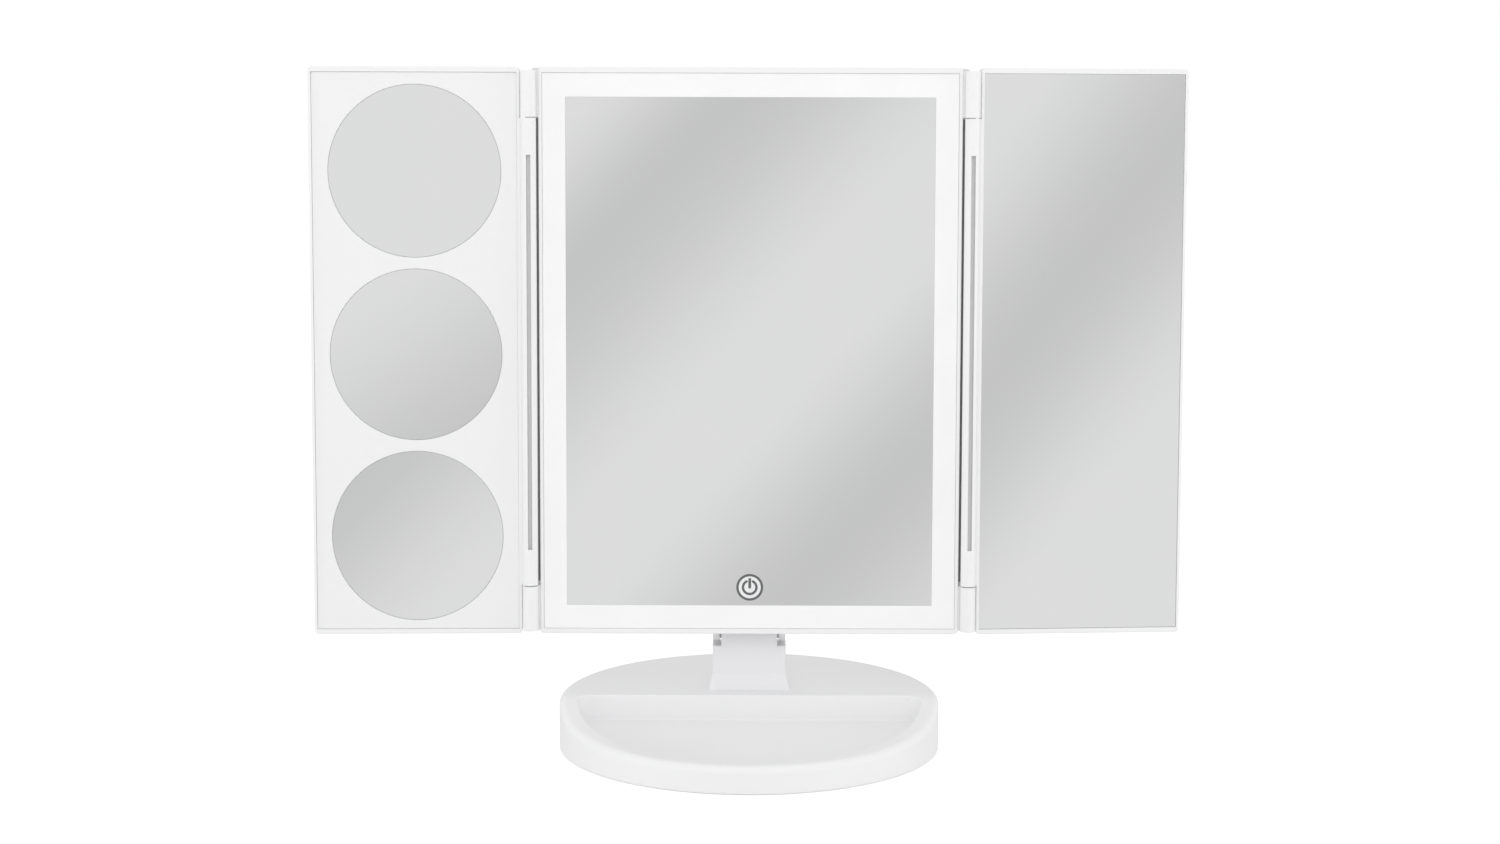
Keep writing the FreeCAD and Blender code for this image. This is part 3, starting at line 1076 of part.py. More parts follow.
def dish_outline(sketch, depth):
    """Half section of a round mirror about its middle: hollow front, flat back."""
    radius, dip, back = number(ROUND_RADIUS), number(depth), number("pane_thick")
    bend = (radius**2 + dip**2) / (2 * dip)
    half_angle = math.asin(radius / bend)
    face = arc(sketch, (0, dip - bend), bend, math.pi / 2 - half_angle, math.pi / 2)
    rim = line(sketch, (radius, 0), (radius, back))
    flat = line(sketch, (radius, back), (0, back))
    middle = line(sketch, (0, back), (0, dip))
    for first, first_end, second, second_end in ((face, 1, rim, 1), (rim, 2, flat, 1), (flat, 2, middle, 1),
                                                 (middle, 2, face, 2)):
        sketch.addConstraint(Sketcher.Constraint("Coincident", first, first_end, second, second_end))
    sketch.addConstraint(Sketcher.Constraint("PointOnObject", face, 3, -2))
    sketch.addConstraint(Sketcher.Constraint("PointOnObject", middle, 1, -2))
    sketch.addConstraint(Sketcher.Constraint("PointOnObject", face, 2, -2))
    sketch.addConstraint(Sketcher.Constraint("PointOnObject", rim, 1, -1))
    sketch.addConstraint(Sketcher.Constraint("Horizontal", flat))
    hold(sketch, "DistanceX", rim, 1, ROUND_RADIUS)
    hold(sketch, "DistanceX", rim, 2, ROUND_RADIUS)
    hold(sketch, "DistanceY", rim, 2, "pane_thick")
    hold(sketch, "DistanceY", face, 2, depth)


def make_left_wing():
    make_wing_shell(-1, "left", LEFT_PLACE)
    panel = new_body("left_face_panel", LEFT_PLACE)
    add(panel, "sheet", "XZ", WING_FACE, PANE_BACK, wing_rectangle, -1, "(wing_rim_side + seat_gap)",
        "(wing_rim_end + seat_gap)")
    places = [(f"-{WING_MIDDLE}", height) for name, height, step in ROUND_PLACES]
    cut(panel, "round_openings", "XZ", f"{WING_FACE} - cut_margin", f"{PANE_BACK} + cut_margin",
        circles, places, f"{ROUND_RADIUS} + seat_gap")
    for name, height, step in ROUND_PLACES:
        place = LEFT_PLACE + " * " + at(f"-{WING_MIDDLE}", WING_FACE, height)
        mirror = new_body("round_mirror_" + name, place)
        revolve(mirror, "glass", "XY", dish_outline, f"{step} * dish_depth")


def make_right_wing():
    make_wing_shell(1, "right", RIGHT_PLACE)
    mirror = new_body("right_mirror", RIGHT_PLACE)
    add(mirror, "glass", "XZ", WING_FACE, PANE_BACK, wing_rectangle, 1, "(wing_rim_side + seat_gap)",
        "(wing_rim_end + seat_gap)")


make_base_shell()
make_base_underside()
make_neck()
make_tilt_joint()
make_front_frame()
make_mirror_stack()
make_lights()
make_rear_housing()
make_electronics()
make_touch_spring()
make_battery()
make_left_wing()
make_right_wing()


def finish():
    """Checks the whole document, then writes one file for each node."""
    doc.recompute()
    for item in doc.Objects:
        if "Invalid" in item.State or "Error" in item.State:
            raise RuntimeError(f"{item.Label} failed: {item.State}")
    for node in nodes:
        if node.Shape.isNull() or not node.Shape.isValid():
            raise RuntimeError(f"{node.Label} has no valid shape")
    os.makedirs("parts", exist_ok=True)
    for node in nodes:
        node.Shape.exportStep(f"parts/{node.Label}.step")
        print(node.Label, len(node.Shape.Solids), round(node.Shape.Volume, 1), node.Shape.BoundBox)


finish()
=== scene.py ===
import math

import bpy
import bmesh
from mathutils import Matrix, Vector


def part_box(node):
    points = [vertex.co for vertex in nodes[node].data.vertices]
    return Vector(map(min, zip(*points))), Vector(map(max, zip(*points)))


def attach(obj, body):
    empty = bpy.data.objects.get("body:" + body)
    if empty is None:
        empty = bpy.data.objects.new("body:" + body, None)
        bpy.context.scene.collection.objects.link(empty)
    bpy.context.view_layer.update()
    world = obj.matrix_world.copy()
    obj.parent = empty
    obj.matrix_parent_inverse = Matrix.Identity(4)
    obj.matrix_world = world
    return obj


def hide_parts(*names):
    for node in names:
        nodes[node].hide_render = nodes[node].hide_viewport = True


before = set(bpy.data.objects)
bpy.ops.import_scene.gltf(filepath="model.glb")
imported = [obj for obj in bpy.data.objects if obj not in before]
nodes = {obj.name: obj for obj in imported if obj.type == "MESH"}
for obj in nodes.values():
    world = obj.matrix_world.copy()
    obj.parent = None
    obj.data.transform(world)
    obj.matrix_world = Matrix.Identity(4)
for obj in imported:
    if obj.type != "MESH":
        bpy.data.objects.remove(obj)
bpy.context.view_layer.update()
MM = 0.001


# ------------------------------------------------------------------------------
# Base moulding: one injection-moulded disc of glossy white ABS, with a level deck behind and a
# sunk tray in front. Its skin is polished, with a faint flow pattern and a very fine grain.
# ------------------------------------------------------------------------------
# nearly all of a noise texture lies between these two values
NOISE_SPAN = 0.3, 0.7


def feed(tree, socket, term):
    """Links another node's output to a socket, or sets the socket to a plain value."""
    if isinstance(term, bpy.types.NodeSocket):
        tree.links.new(term, socket)
    else:
        socket.default_value = term


def add_node(tree, kind, fed=None, **settings):
    """A new node, with its settings made first and its inputs fed after."""
    node = tree.nodes.new(kind)
    for label, value in settings.items():
        setattr(node, label, value)
    for label, term in (fed or {}).items():
        feed(tree, node.inputs[label], term)
    return node


def sum_up(tree, operation, *terms):
    """Arithmetic on outputs or numbers inside a tree."""
    return add_node(tree, "ShaderNodeMath", dict(enumerate(terms)), operation=operation).outputs[0]


def on_object(tree):
    """Places on the piece, from the object's origin."""
    return tree.nodes.new("ShaderNodeTexCoord").outputs["Object"]


def noise(tree, place, scale, detail=2.0, roughness=0.5):
    """A noise texture over the places; the scale is a number or an output."""
    fed = {"Vector": place, "Scale": scale, "Detail": detail, "Roughness": roughness}
    return add_node(tree, "ShaderNodeTexNoise", fed).outputs["Fac"]


def remap(tree, value, low, high, to_low=0.0, to_high=1.0, smooth=False):
    """A value between two limits, stretched to two others, each limit a number or an output."""
    fed = {"Value": value, "From Min": low, "From Max": high, "To Min": to_low, "To Max": to_high}
    course = "SMOOTHSTEP" if smooth else "LINEAR"
    return add_node(tree, "ShaderNodeMapRange", fed, interpolation_type=course).outputs["Result"]


def bump(tree, height, strength, depth):
    """A bumped normal from a height pattern; the depth of its relief is in metres."""
    fed = {"Height": height, "Strength": strength, "Distance": depth}
    return add_node(tree, "ShaderNodeBump", fed).outputs["Normal"]


def two_tones(tree, factor, first, second):
    """A colour that goes from the first to the second; each is a colour or an output."""
    node = add_node(tree, "ShaderNodeMix", data_type="RGBA")
    feed(tree, node.inputs["Factor"], factor)
    for label, tone in (("A", first), ("B", second)):
        feed(tree, node.inputs[label], (*tone, 1.0) if isinstance(tone, tuple) else tone)
    return node.outputs["Result"]


def new_group(name, inputs, outputs):
    """A shader node group with named number inputs and (name, kind) outputs."""
    group = bpy.data.node_groups.new(name, "ShaderNodeTree")
    for label, value in inputs:
        socket = group.interface.new_socket(
            name=label, in_out="INPUT", socket_type="NodeSocketFloat")
        socket.default_value = value
    for label, kind in outputs:
        group.interface.new_socket(name=label, in_out="OUTPUT", socket_type=kind)
    return group, group.nodes.new("NodeGroupInput"), group.nodes.new("NodeGroupOutput")


def polished_skin():
    """Skin of a polished moulding: slow flow marks, faint wipe marks and a fine grain."""
    inputs = (("Flow Scale", 14.0), ("Grain Scale", 2600.0),
              ("Smooth", 0.276), ("Dull", 0.284), ("Relief", 0.05))
    outputs = (("Tone", "NodeSocketFloat"), ("Roughness", "NodeSocketFloat"),
               ("Normal", "NodeSocketVector"))
    group, given, result = new_group("polished skin", inputs, outputs)
    need = given.outputs
    wipe_scale, grain_share, relief_depth = 34.0, 0.35, 0.1 * MM
    place = on_object(group)
    flow = noise(group, place, need["Flow Scale"], 3.0, 0.55)
    grain = noise(group, place, need["Grain Scale"], 1.0)
    wipe = noise(group, place, wipe_scale)
    height = sum_up(group, "MULTIPLY_ADD", grain, grain_share, flow)
    feed(group, result.inputs["Tone"], remap(group, flow, *NOISE_SPAN))
    rough = remap(group, wipe, 0.3, 0.75, need["Smooth"], need["Dull"])
    feed(group, result.inputs["Roughness"], rough)
    feed(group, result.inputs["Normal"], bump(group, height, need["Relief"], relief_depth))
    return group


POLISHED = polished_skin()


def new_material(name):
    """A material with a Principled shader; returns the material, its tree and the shader."""
    material = bpy.data.materials.new(name)
    material.use_nodes = True
    return material, material.node_tree, material.node_tree.nodes["Principled BSDF"]


def dress(tree, shader, colour, roughness, normal):
    """Gives a shader its colour, roughness and bumped normal."""
    for label, term in (("Base Color", colour), ("Roughness", roughness), ("Normal", normal)):
        feed(tree, shader.inputs[label], term)


def polished_plastic(name, light, dark, smooth=0.276, dull=0.284):
    """Glossy moulded plastic between two near tones."""
    material, tree, shader = new_material(name)
    fed = {"Smooth": smooth, "Dull": dull}
    skin = add_node(tree, "ShaderNodeGroup", fed, node_tree=POLISHED).outputs
    colour = two_tones(tree, skin["Tone"], dark, light)
    dress(tree, shader, colour, skin["Roughness"], skin["Normal"])
    for label, value in (("IOR", 1.5), ("Coat Weight", 0.15), ("Coat Roughness", 0.08)):
        shader.inputs[label].default_value = value
    return material


def finish(material, *names):
    """Packed solids keep their shape and get a better finish."""
    for name in names:
        for place in nodes[name].material_slots:
            place.material = material


ABS_TONES = (0.9, 0.9, 0.905), (0.893, 0.893, 0.899)
WHITE_ABS = polished_plastic("white ABS, polished", *ABS_TONES)
finish(WHITE_ABS, "base_shell")


# ------------------------------------------------------------------------------
# Base plate: a disc of matt white ABS that closes the base from below, with eroded mould texture.
# It is screwed on and carries the four feet.
# ------------------------------------------------------------------------------
def textured_plastic(name, light, dark, pit_scale=900.0, relief=0.35):
    """Plastic from a spark-eroded mould: fine pits that make it matt."""
    material, tree, shader = new_material(name)
    flow_scale, wear_scale, pit_depth, smooth, dull = 18.0, 220.0, 0.12 * MM, 0.48, 0.62
    place = on_object(tree)
    pits = add_node(tree, "ShaderNodeTexVoronoi", {"Vector": place, "Scale": pit_scale})
    flow = remap(tree, noise(tree, place, flow_scale, 3.0), *NOISE_SPAN)
    rough = remap(tree, noise(tree, place, wear_scale, 3.0), *NOISE_SPAN, smooth, dull)
    pitted = bump(tree, pits.outputs["Distance"], relief, pit_depth)
    dress(tree, shader, two_tones(tree, flow, dark, light), rough, pitted)
    return material


MATT_ABS = textured_plastic("white ABS, fine texture", (0.86, 0.862, 0.865), (0.835, 0.838, 0.843))
finish(MATT_ABS, "base_bottom_plate")


# ------------------------------------------------------------------------------
# Feet: four round pads of grey silicone rubber, glued into pockets of the base plate.
# They pick up dust, so their tone is uneven and quite matt.
# ------------------------------------------------------------------------------
def rubber(name, light, dark):
    """Matt rubber with a dusty bloom and a fine pebble."""
    material, tree, shader = new_material(name)
    dust_scale, pebble_scale, pebble_depth, smooth, dull = 320.0, 1500.0, 0.15 * MM, 0.62, 0.85
    place = on_object(tree)
    bloom = remap(tree, noise(tree, place, dust_scale, 5.0, 0.65), 0.35, 0.7)
    rough = remap(tree, bloom, 0.0, 1.0, smooth, dull)
    pebbled = bump(tree, noise(tree, place, pebble_scale), 0.4, pebble_depth)
    dress(tree, shader, two_tones(tree, bloom, dark, light), rough, pebbled)
    return material


finish(rubber("grey silicone rubber", (0.42, 0.42, 0.43), (0.33, 0.33, 0.34)), "base_feet")


# ------------------------------------------------------------------------------
# Ballast: a half-round plate of blackened sheet steel under the deck, against tipping.
# Blackened steel is cloudy in tone and dull in its shine.
# ------------------------------------------------------------------------------
def plated_steel(name, light, dark, smooth, dull, cloud):
    """Steel with a plated or rolled surface, cloudy in tone and shine."""
    material, tree, shader = new_material(name)
    grain_scale, grain_depth = cloud * 12.0, 0.08 * MM
    place = on_object(tree)
    clouds = remap(tree, noise(tree, place, cloud, 5.0, 0.6), *NOISE_SPAN)
    rough = remap(tree, clouds, 0.0, 1.0, dull, smooth)
    grained = bump(tree, noise(tree, place, grain_scale), 0.15, grain_depth)
    dress(tree, shader, two_tones(tree, clouds, dark, light), rough, grained)
    shader.inputs["Metallic"].default_value = 1.0
    return material


DARK_STEEL = plated_steel("blackened sheet steel", (0.22, 0.22, 0.23), (0.16, 0.16, 0.17),
                          smooth=0.4, dull=0.55, cloud=90.0)
BRIGHT_STEEL = plated_steel("bright nickel plated steel", (0.72, 0.72, 0.71), (0.6, 0.6, 0.6),
                            smooth=0.16, dull=0.3, cloud=260.0)
finish(DARK_STEEL, "base_ballast")


# ------------------------------------------------------------------------------
# Screws: pan-head self-tapping screws of nickel plated steel with a cross recess and a thread.
# Base plate, neck and rear housing each have their own set, all alike but in length.
# ------------------------------------------------------------------------------
def new_tree(name, inputs):
    """A geometry node tree with named inputs: the tree, what it gives, takes and is set by."""
    tree = bpy.data.node_groups.new(name, "GeometryNodeTree")
    new_socket = tree.interface.new_socket
    new_socket(name="Geometry", in_out="INPUT", socket_type="NodeSocketGeometry")
    sockets = {}
    for label, kind, value in inputs:
        socket = new_socket(name=label, in_out="INPUT", socket_type=kind)
        if value is not None:
            socket.default_value = value
        sockets[label] = socket.identifier
    new_socket(name="Geometry", in_out="OUTPUT", socket_type="NodeSocketGeometry")
    given, taken = tree.nodes.new("NodeGroupInput"), tree.nodes.new("NodeGroupOutput")
    return tree, given.outputs, taken.inputs["Geometry"], sockets


def vector_of(tree, x, y, z):
    """A vector from three outputs or numbers."""
    return add_node(tree, "ShaderNodeCombineXYZ", {"X": x, "Y": y, "Z": z}).outputs[0]


def raised(tree, shape, rise):
    """The shape moved up its own axis."""
    fed = {"Geometry": shape.outputs[0], "Translation": vector_of(tree, 0.0, 0.0, rise)}
    return add_node(tree, "GeometryNodeTransform", fed)


def girthed(tree, shape, place, girth):
    """The shape with its girth scaled by a factor that changes along it."""
    fed = {0: place, 1: vector_of(tree, girth, girth, 1.0)}
    drawn = add_node(tree, "ShaderNodeVectorMath", fed, operation="MULTIPLY")
    fed = {"Geometry": shape.outputs[0], "Position": drawn.outputs[0]}
    return add_node(tree, "GeometryNodeSetPosition", fed)


def screw_tree():
    """Screws on the faces of a mesh, each along its face's normal."""
    inputs = (
        ("Head Radius", "NodeSocketFloat", 2.5 * MM),
        ("Head Height", "NodeSocketFloat", 1.5 * MM),
        ("Shank Radius", "NodeSocketFloat", 1.3 * MM),
        ("Shank Length", "NodeSocketFloat", 7.0 * MM),
        ("Thread Pitch", "NodeSocketFloat", 0.9 * MM),
        ("Recess", "NodeSocketFloat", 0.9 * MM),
        ("Turn", "NodeSocketFloat", 0.35),
        ("Material", "NodeSocketMaterial", None),
    )
    tree, need, result, sockets = new_tree("cross recess screws", inputs)
    dome, arm_reach, arm_girth = 0.3, 1.15, 0.6
    thread_depth, tip_from, tip_girth = 0.13, 0.86, 0.35
    place = tree.nodes.new("GeometryNodeInputPosition").outputs[0]
    part = add_node(tree, "ShaderNodeSeparateXYZ", {0: place}).outputs
    fed = {"Vertices": 40, "Side Segments": 5, "Fill Segments": 4,
           "Radius": need["Head Radius"], "Depth": need["Head Height"]}
    head = add_node(tree, "GeometryNodeMeshCylinder", fed)
    # the head's outer side is at -z: it is drawn in there, so that its edge is round
    depth = sum_up(tree, "DIVIDE", part["Z"], need["Head Height"])
    outer = sum_up(tree, "MAXIMUM", sum_up(tree, "MULTIPLY", depth, -2.0), 0.0)
    drawn = sum_up(tree, "MULTIPLY_ADD", sum_up(tree, "POWER", outer, 3.0), -dome, 1.0)
    domed = girthed(tree, head, place, drawn)
    # the recess is cut by two crossing bars
    arms = tree.nodes.new("GeometryNodeJoinGeometry")
    long_side = sum_up(tree, "MULTIPLY", need["Head Radius"], arm_reach)
    short_side = sum_up(tree, "MULTIPLY", need["Recess"], arm_girth)
    for width, length in ((long_side, short_side), (short_side, long_side)):
        size = vector_of(tree, width, length, need["Head Height"])
        arm = add_node(tree, "GeometryNodeMeshCube", {"Size": size})
        feed(tree, arms.inputs[0], arm.outputs[0])
    half_out = sum_up(tree, "MULTIPLY", need["Head Height"], -0.5)
    fed = {"Mesh 1": domed.outputs[0], "Mesh 2": raised(tree, arms, half_out).outputs[0]}
    recess = add_node(tree, "GeometryNodeMeshBoolean", fed, operation="DIFFERENCE")
    seated = raised(tree, recess, half_out)
    # the thread is a cylinder whose rings swell and shrink with the pitch, and taper at the tip
    fed = {"Vertices": 20, "Side Segments": 48,
           "Radius": need["Shank Radius"], "Depth": need["Shank Length"]}
    shank = add_node(tree, "GeometryNodeMeshCylinder", fed)
    lifted = raised(tree, shank, sum_up(tree, "MULTIPLY", need["Shank Length"], 0.5))
    around = sum_up(tree, "ARCTAN2", part["Y"], part["X"])
    pitches = sum_up(tree, "DIVIDE", part["Z"], need["Thread Pitch"])
    turns = sum_up(tree, "MULTIPLY", pitches, 2 * math.pi)
    wave = sum_up(tree, "SINE", sum_up(tree, "SUBTRACT", turns, around))
    swell = sum_up(tree, "MULTIPLY_ADD", wave, thread_depth, 1.0 - thread_depth)
    along = sum_up(tree, "DIVIDE", part["Z"], need["Shank Length"])
    tip = remap(tree, along, tip_from, 1.0, 1.0, tip_girth)
    thread = girthed(tree, lifted, place, sum_up(tree, "MULTIPLY", swell, tip))
    whole = tree.nodes.new("GeometryNodeJoinGeometry")
    for shape in (thread, seated):
        feed(tree, whole.inputs[0], shape.outputs[0])
    # each screw looks along its face, and is turned a little further than the one before
    normal = tree.nodes.new("GeometryNodeInputNormal").outputs[0]
    aim = add_node(tree, "FunctionNodeAlignRotationToVector", {"Vector": normal}, axis="Z")
    index = tree.nodes.new("GeometryNodeInputIndex").outputs[0]
    fed = {"Axis": (0.0, 0.0, 1.0), "Angle": sum_up(tree, "MULTIPLY", index, need["Turn"])}
    spin = add_node(tree, "FunctionNodeAxisAngleToRotation", fed)
    fed = {"Rotation": aim.outputs[0], "Rotate By": spin.outputs[0]}
    both = add_node(tree, "FunctionNodeRotateRotation", fed, rotation_space="LOCAL")
    fed = {"Geometry": need["Geometry"], "Name": "aim", "Value": both.outputs[0]}
    kept = add_node(tree, "GeometryNodeStoreNamedAttribute", fed,
                    data_type="QUATERNION", domain="FACE")
    fed = {"Mesh": kept.outputs[0]}
    points = add_node(tree, "GeometryNodeMeshToPoints", fed, mode="FACES")
    read = add_node(tree, "GeometryNodeInputNamedAttribute", {"Name": "aim"},
                    data_type="QUATERNION")
    fed = {"Points": points.outputs[0], "Instance": whole.outputs[0], "Rotation": read.outputs[0]}
    placed = add_node(tree, "GeometryNodeInstanceOnPoints", fed)
    real = add_node(tree, "GeometryNodeRealizeInstances", {"Geometry": placed.outputs[0]})
    fed = {"Geometry": real.outputs[0], "Material": need["Material"]}
    feed(tree, result, add_node(tree, "GeometryNodeSetMaterial", fed).outputs[0])
    return tree, sockets


SCREW_TREE, SCREW_SOCKETS = screw_tree()


def facing_marks(places, across, up):
    """A mesh with one tiny triangle at each place, whose face looks along across x up."""
    mesh = bmesh.new()
    for place in places:
        corners = [place + across * size + up * rise for size, rise in ((-1, -1), (1, -1), (0, 2))]
        mesh.faces.new([mesh.verts.new(corner) for corner in corners])
    return mesh


def shown_mesh(name, mesh, place, material=None, smooth=40.0):
    """An object at the origin from a bmesh that is moved to its place first."""
    mesh.transform(place)
    data = bpy.data.meshes.new(name)
    mesh.to_mesh(data)
    mesh.free()
    piece = bpy.data.objects.new(name, data)
    bpy.context.collection.objects.link(piece)
    if material:
        data.materials.append(material)
    if smooth and len(data.polygons):
        data.shade_smooth()
        data.set_sharp_from_angle(angle=math.radians(smooth))
    return piece


def grow(piece, tree, sockets, values):
    """Runs a geometry tree on a piece and keeps what it makes as the piece's plain mesh."""
    modifier = piece.modifiers.new("grown", "NODES")
    modifier.node_group = tree
    for label, value in values.items():
        modifier[sockets[label]] = value
    bpy.context.view_layer.update()
    ready = piece.evaluated_get(bpy.context.evaluated_depsgraph_get())
    data = bpy.data.meshes.new_from_object(ready)
    piece.modifiers.remove(modifier)
    old = piece.data
    piece.data = data
    bpy.data.meshes.remove(old)


def screws(name, places, across, up, place, length, body, node):
    """A set of screws that stands for the node of that set."""
    mark = 0.01 * MM
    marks = facing_marks(places, across * mark, up * mark)
    piece = shown_mesh(name, marks, place, smooth=0.0)
    grow(piece, SCREW_TREE, SCREW_SOCKETS, {"Shank Length": length, "Material": BRIGHT_STEEL})
    piece.data.shade_smooth()
    piece.data.set_sharp_from_angle(angle=math.radians(35.0))
    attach(piece, body)
    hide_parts(node)


AHEAD, ACROSS, UPWARD = Vector((0, 1, 0)), Vector((1, 0, 0)), Vector((0, 0, 1))
PLATE_RING, PLATE_SEAT = 66.0 * MM, 1.8 * MM
plate_turns = [math.radians(turn) for turn in (20, 70, 110, 160)]
plate_places = [
    Vector((PLATE_RING * math.cos(turn), PLATE_RING * math.sin(turn), PLATE_SEAT))
    for turn in plate_turns
]
screws("plate_screws", plate_places, ACROSS, AHEAD, Matrix(), 7.0 * MM, "stand",
       "base_plate_screws")
neck_across, neck_behind, neck_seat = 7.4 * MM, 15.2 * MM, 11.0 * MM
neck_places = [Vector((side * neck_across, neck_behind, neck_seat)) for side in (-1, 1)]
screws("neck_foot_screws", neck_places, ACROSS, AHEAD, Matrix(), 11.3 * MM, "stand",
       "neck_screws")


# ------------------------------------------------------------------------------
# Neck: a hollow column of polished white ABS, a shade cooler, with a flared foot and a barrel at
# its top. A plate snaps in behind. A steel shaft between nylon washers holds the panel.
# ------------------------------------------------------------------------------
NECK_ABS = polished_plastic("white ABS, neck", (0.875, 0.873, 0.89), (0.867, 0.865, 0.883),
                            smooth=0.3, dull=0.32)
NYLON = textured_plastic("white nylon", (0.86, 0.86, 0.855), (0.83, 0.83, 0.825),
                         pit_scale=1500.0, relief=0.12)
finish(NECK_ABS, "neck_column", "neck_rear_cover")
finish(BRIGHT_STEEL, "tilt_shaft")
finish(NYLON, "tilt_washers")


# ------------------------------------------------------------------------------
# Centre frame: a slim frame of polished white ABS with two hinge knuckles on each side.
# The opal acrylic pane is glued in from the front and spreads the light around the mirror.
# ------------------------------------------------------------------------------
finish(WHITE_ABS, "front_frame")


def opal_acrylic(name):
    """Opal acrylic lit from behind: an even white with a faint haze."""
    material, tree, shader = new_material(name)
    haze_scale, wear_scale, grain_scale, grain_depth = 45.0, 300.0, 1800.0, 0.1 * MM
    smooth, dull = 0.3, 0.42
    place = on_object(tree)
    haze = remap(tree, noise(tree, place, haze_scale), *NOISE_SPAN)
    colour = two_tones(tree, haze, (0.9, 0.9, 0.9), (0.925, 0.925, 0.925))
    glow = two_tones(tree, haze, (0.9, 0.92, 0.95), (1.0, 1.0, 1.0))
    rough = remap(tree, noise(tree, place, wear_scale, 3.0), *NOISE_SPAN, smooth, dull)
    grained = bump(tree, noise(tree, place, grain_scale, 1.0), 0.08, grain_depth)
    dress(tree, shader, colour, rough, grained)
    feed(tree, shader.inputs["Emission Color"], glow)
    shader.inputs["Emission Strength"].default_value = 0.035
    return material


finish(opal_acrylic("opal acrylic"), "light_diffuser")


# ------------------------------------------------------------------------------
# Centre mirror: float glass, silvered behind and cut with a ground edge, set flush in the pane.
# Silvered glass takes faint wipe marks, and its cut edge shows a green tint.
# ------------------------------------------------------------------------------
def silvered_glass(name):
    """A mirror: silver seen through glass on the front, ground glass on the cut edge."""
    material, tree, shader = new_material(name)
    clean, tint, cut_green = (0.905, 0.905, 0.905), (0.89, 0.9, 0.9), (0.52, 0.6, 0.57)
    film_scale, wipe_scale, wave_scale, wave_depth = 22.0, 60.0, 9.0, 0.1 * MM
    clear, wiped, ground_dull = 0.012, 0.035, 0.3
    coordinates = tree.nodes.new("ShaderNodeTexCoord").outputs
    place = coordinates["Object"]
    film = remap(tree, noise(tree, place, film_scale, 4.0, 0.6), 0.35, 0.75)
    silver = two_tones(tree, film, clean, tint)
    split = add_node(tree, "ShaderNodeSeparateXYZ", {0: coordinates["Normal"]})
    facing = remap(tree, sum_up(tree, "ABSOLUTE", split.outputs["Y"]), 0.75, 0.9)
    wipes = remap(tree, noise(tree, place, wipe_scale, 6.0, 0.7), 0.4, 0.8, clear, wiped)
    ground = sum_up(tree, "MULTIPLY_ADD", facing, -ground_dull, ground_dull)
    wavy = bump(tree, noise(tree, place, wave_scale, 1.0), 0.02, wave_depth)
    colour = two_tones(tree, facing, cut_green, silver)
    dress(tree, shader, colour, sum_up(tree, "ADD", ground, wipes), wavy)
    feed(tree, shader.inputs["Metallic"], remap(tree, facing, 0.0, 1.0, 0.4, 1.0))
    return material


MIRROR = silvered_glass("silvered glass")
finish(MIRROR, "centre_mirror")


# ------------------------------------------------------------------------------
# Touch key: a generic power sign printed on the mirror's lower edge over a frosted, lit window.
# A dark ring, and inside it an arc that is open at the top with an upright bar.
# ------------------------------------------------------------------------------
SHAFT_BEHIND, SHAFT_HIGH, PANEL_LEAN = 15.2 * MM, 45.0 * MM, math.radians(-2.46)
PANEL_AHEAD, PANEL_LIFT = 22.0 * MM, 0.45 * MM
PANEL = (
    Matrix.Translation((0, SHAFT_BEHIND, SHAFT_HIGH))
    @ Matrix.Rotation(PANEL_LEAN, 4, "X")
    @ Matrix.Translation((0, -PANEL_AHEAD, PANEL_LIFT))
)
KEY_CENTRE = Vector((0.15 * MM, 0, 18.7 * MM))
PRINT_BACK, PRINT_FRONT = 0.02 * MM, -0.05 * MM


def printed_ring(mesh, inner, outer, start, end, steps=72):
    """A flat ring or open arc around the key's centre; angles run clockwise from the top."""
    closed = end - start >= 2 * math.pi
    profile = ((inner, PRINT_FRONT), (outer, PRINT_FRONT),
               (outer, PRINT_BACK), (inner, PRINT_BACK))
    rows = []
    for index in range(steps if closed else steps + 1):
        angle = start + (end - start) * index / steps
        way = Vector((math.sin(angle), 0, math.cos(angle)))
        rows.append([mesh.verts.new(KEY_CENTRE + way * radius + Vector((0, depth, 0)))
                     for radius, depth in profile])
    pairs = list(zip(rows, rows[1:])) + ([(rows[-1], rows[0])] if closed else [])
    for one, two in pairs:
        for index in range(4):
            after = (index + 1) % 4
            mesh.faces.new((one[index], one[after], two[after], two[index]))
    if not closed:
        mesh.faces.new(reversed(rows[0]))
        mesh.faces.new(rows[-1])


def printed_patch(mesh, outline, front):
    """A thin patch whose outline runs as (across, up) pairs around the key's centre."""
    fronts, backs = [
        [mesh.verts.new(KEY_CENTRE + Vector((across, depth, up))) for across, up in outline]
        for depth in (front, PRINT_BACK)
    ]
    mesh.faces.new(fronts)
    mesh.faces.new(list(reversed(backs)))
    for index in range(len(outline)):
        after = (index + 1) % len(outline)
        mesh.faces.new((fronts[index], backs[index], backs[after], fronts[after]))


def dot_outline(across, up, radius, steps=28):
    """The outline of a round dot, clockwise from its top."""
    turns = [2 * math.pi * index / steps for index in range(steps)]
    return [(across + radius * math.sin(turn), up + radius * math.cos(turn)) for turn in turns]


def printed_ink(name, light, dark):
    """Screen-printed ink: matt, with a fine mesh of tone and edge relief."""
    material, tree, shader = new_material(name)
    mesh_scale, mesh_depth, smooth, dull = 2500.0, 0.05 * MM, 0.4, 0.55
    spots = remap(tree, noise(tree, on_object(tree), mesh_scale, 3.0), 0.35, 0.7)
    rough = remap(tree, spots, 0.0, 1.0, smooth, dull)
    meshed = bump(tree, spots, 0.2, mesh_depth)
    dress(tree, shader, two_tones(tree, spots, dark, light), rough, meshed)
    return material


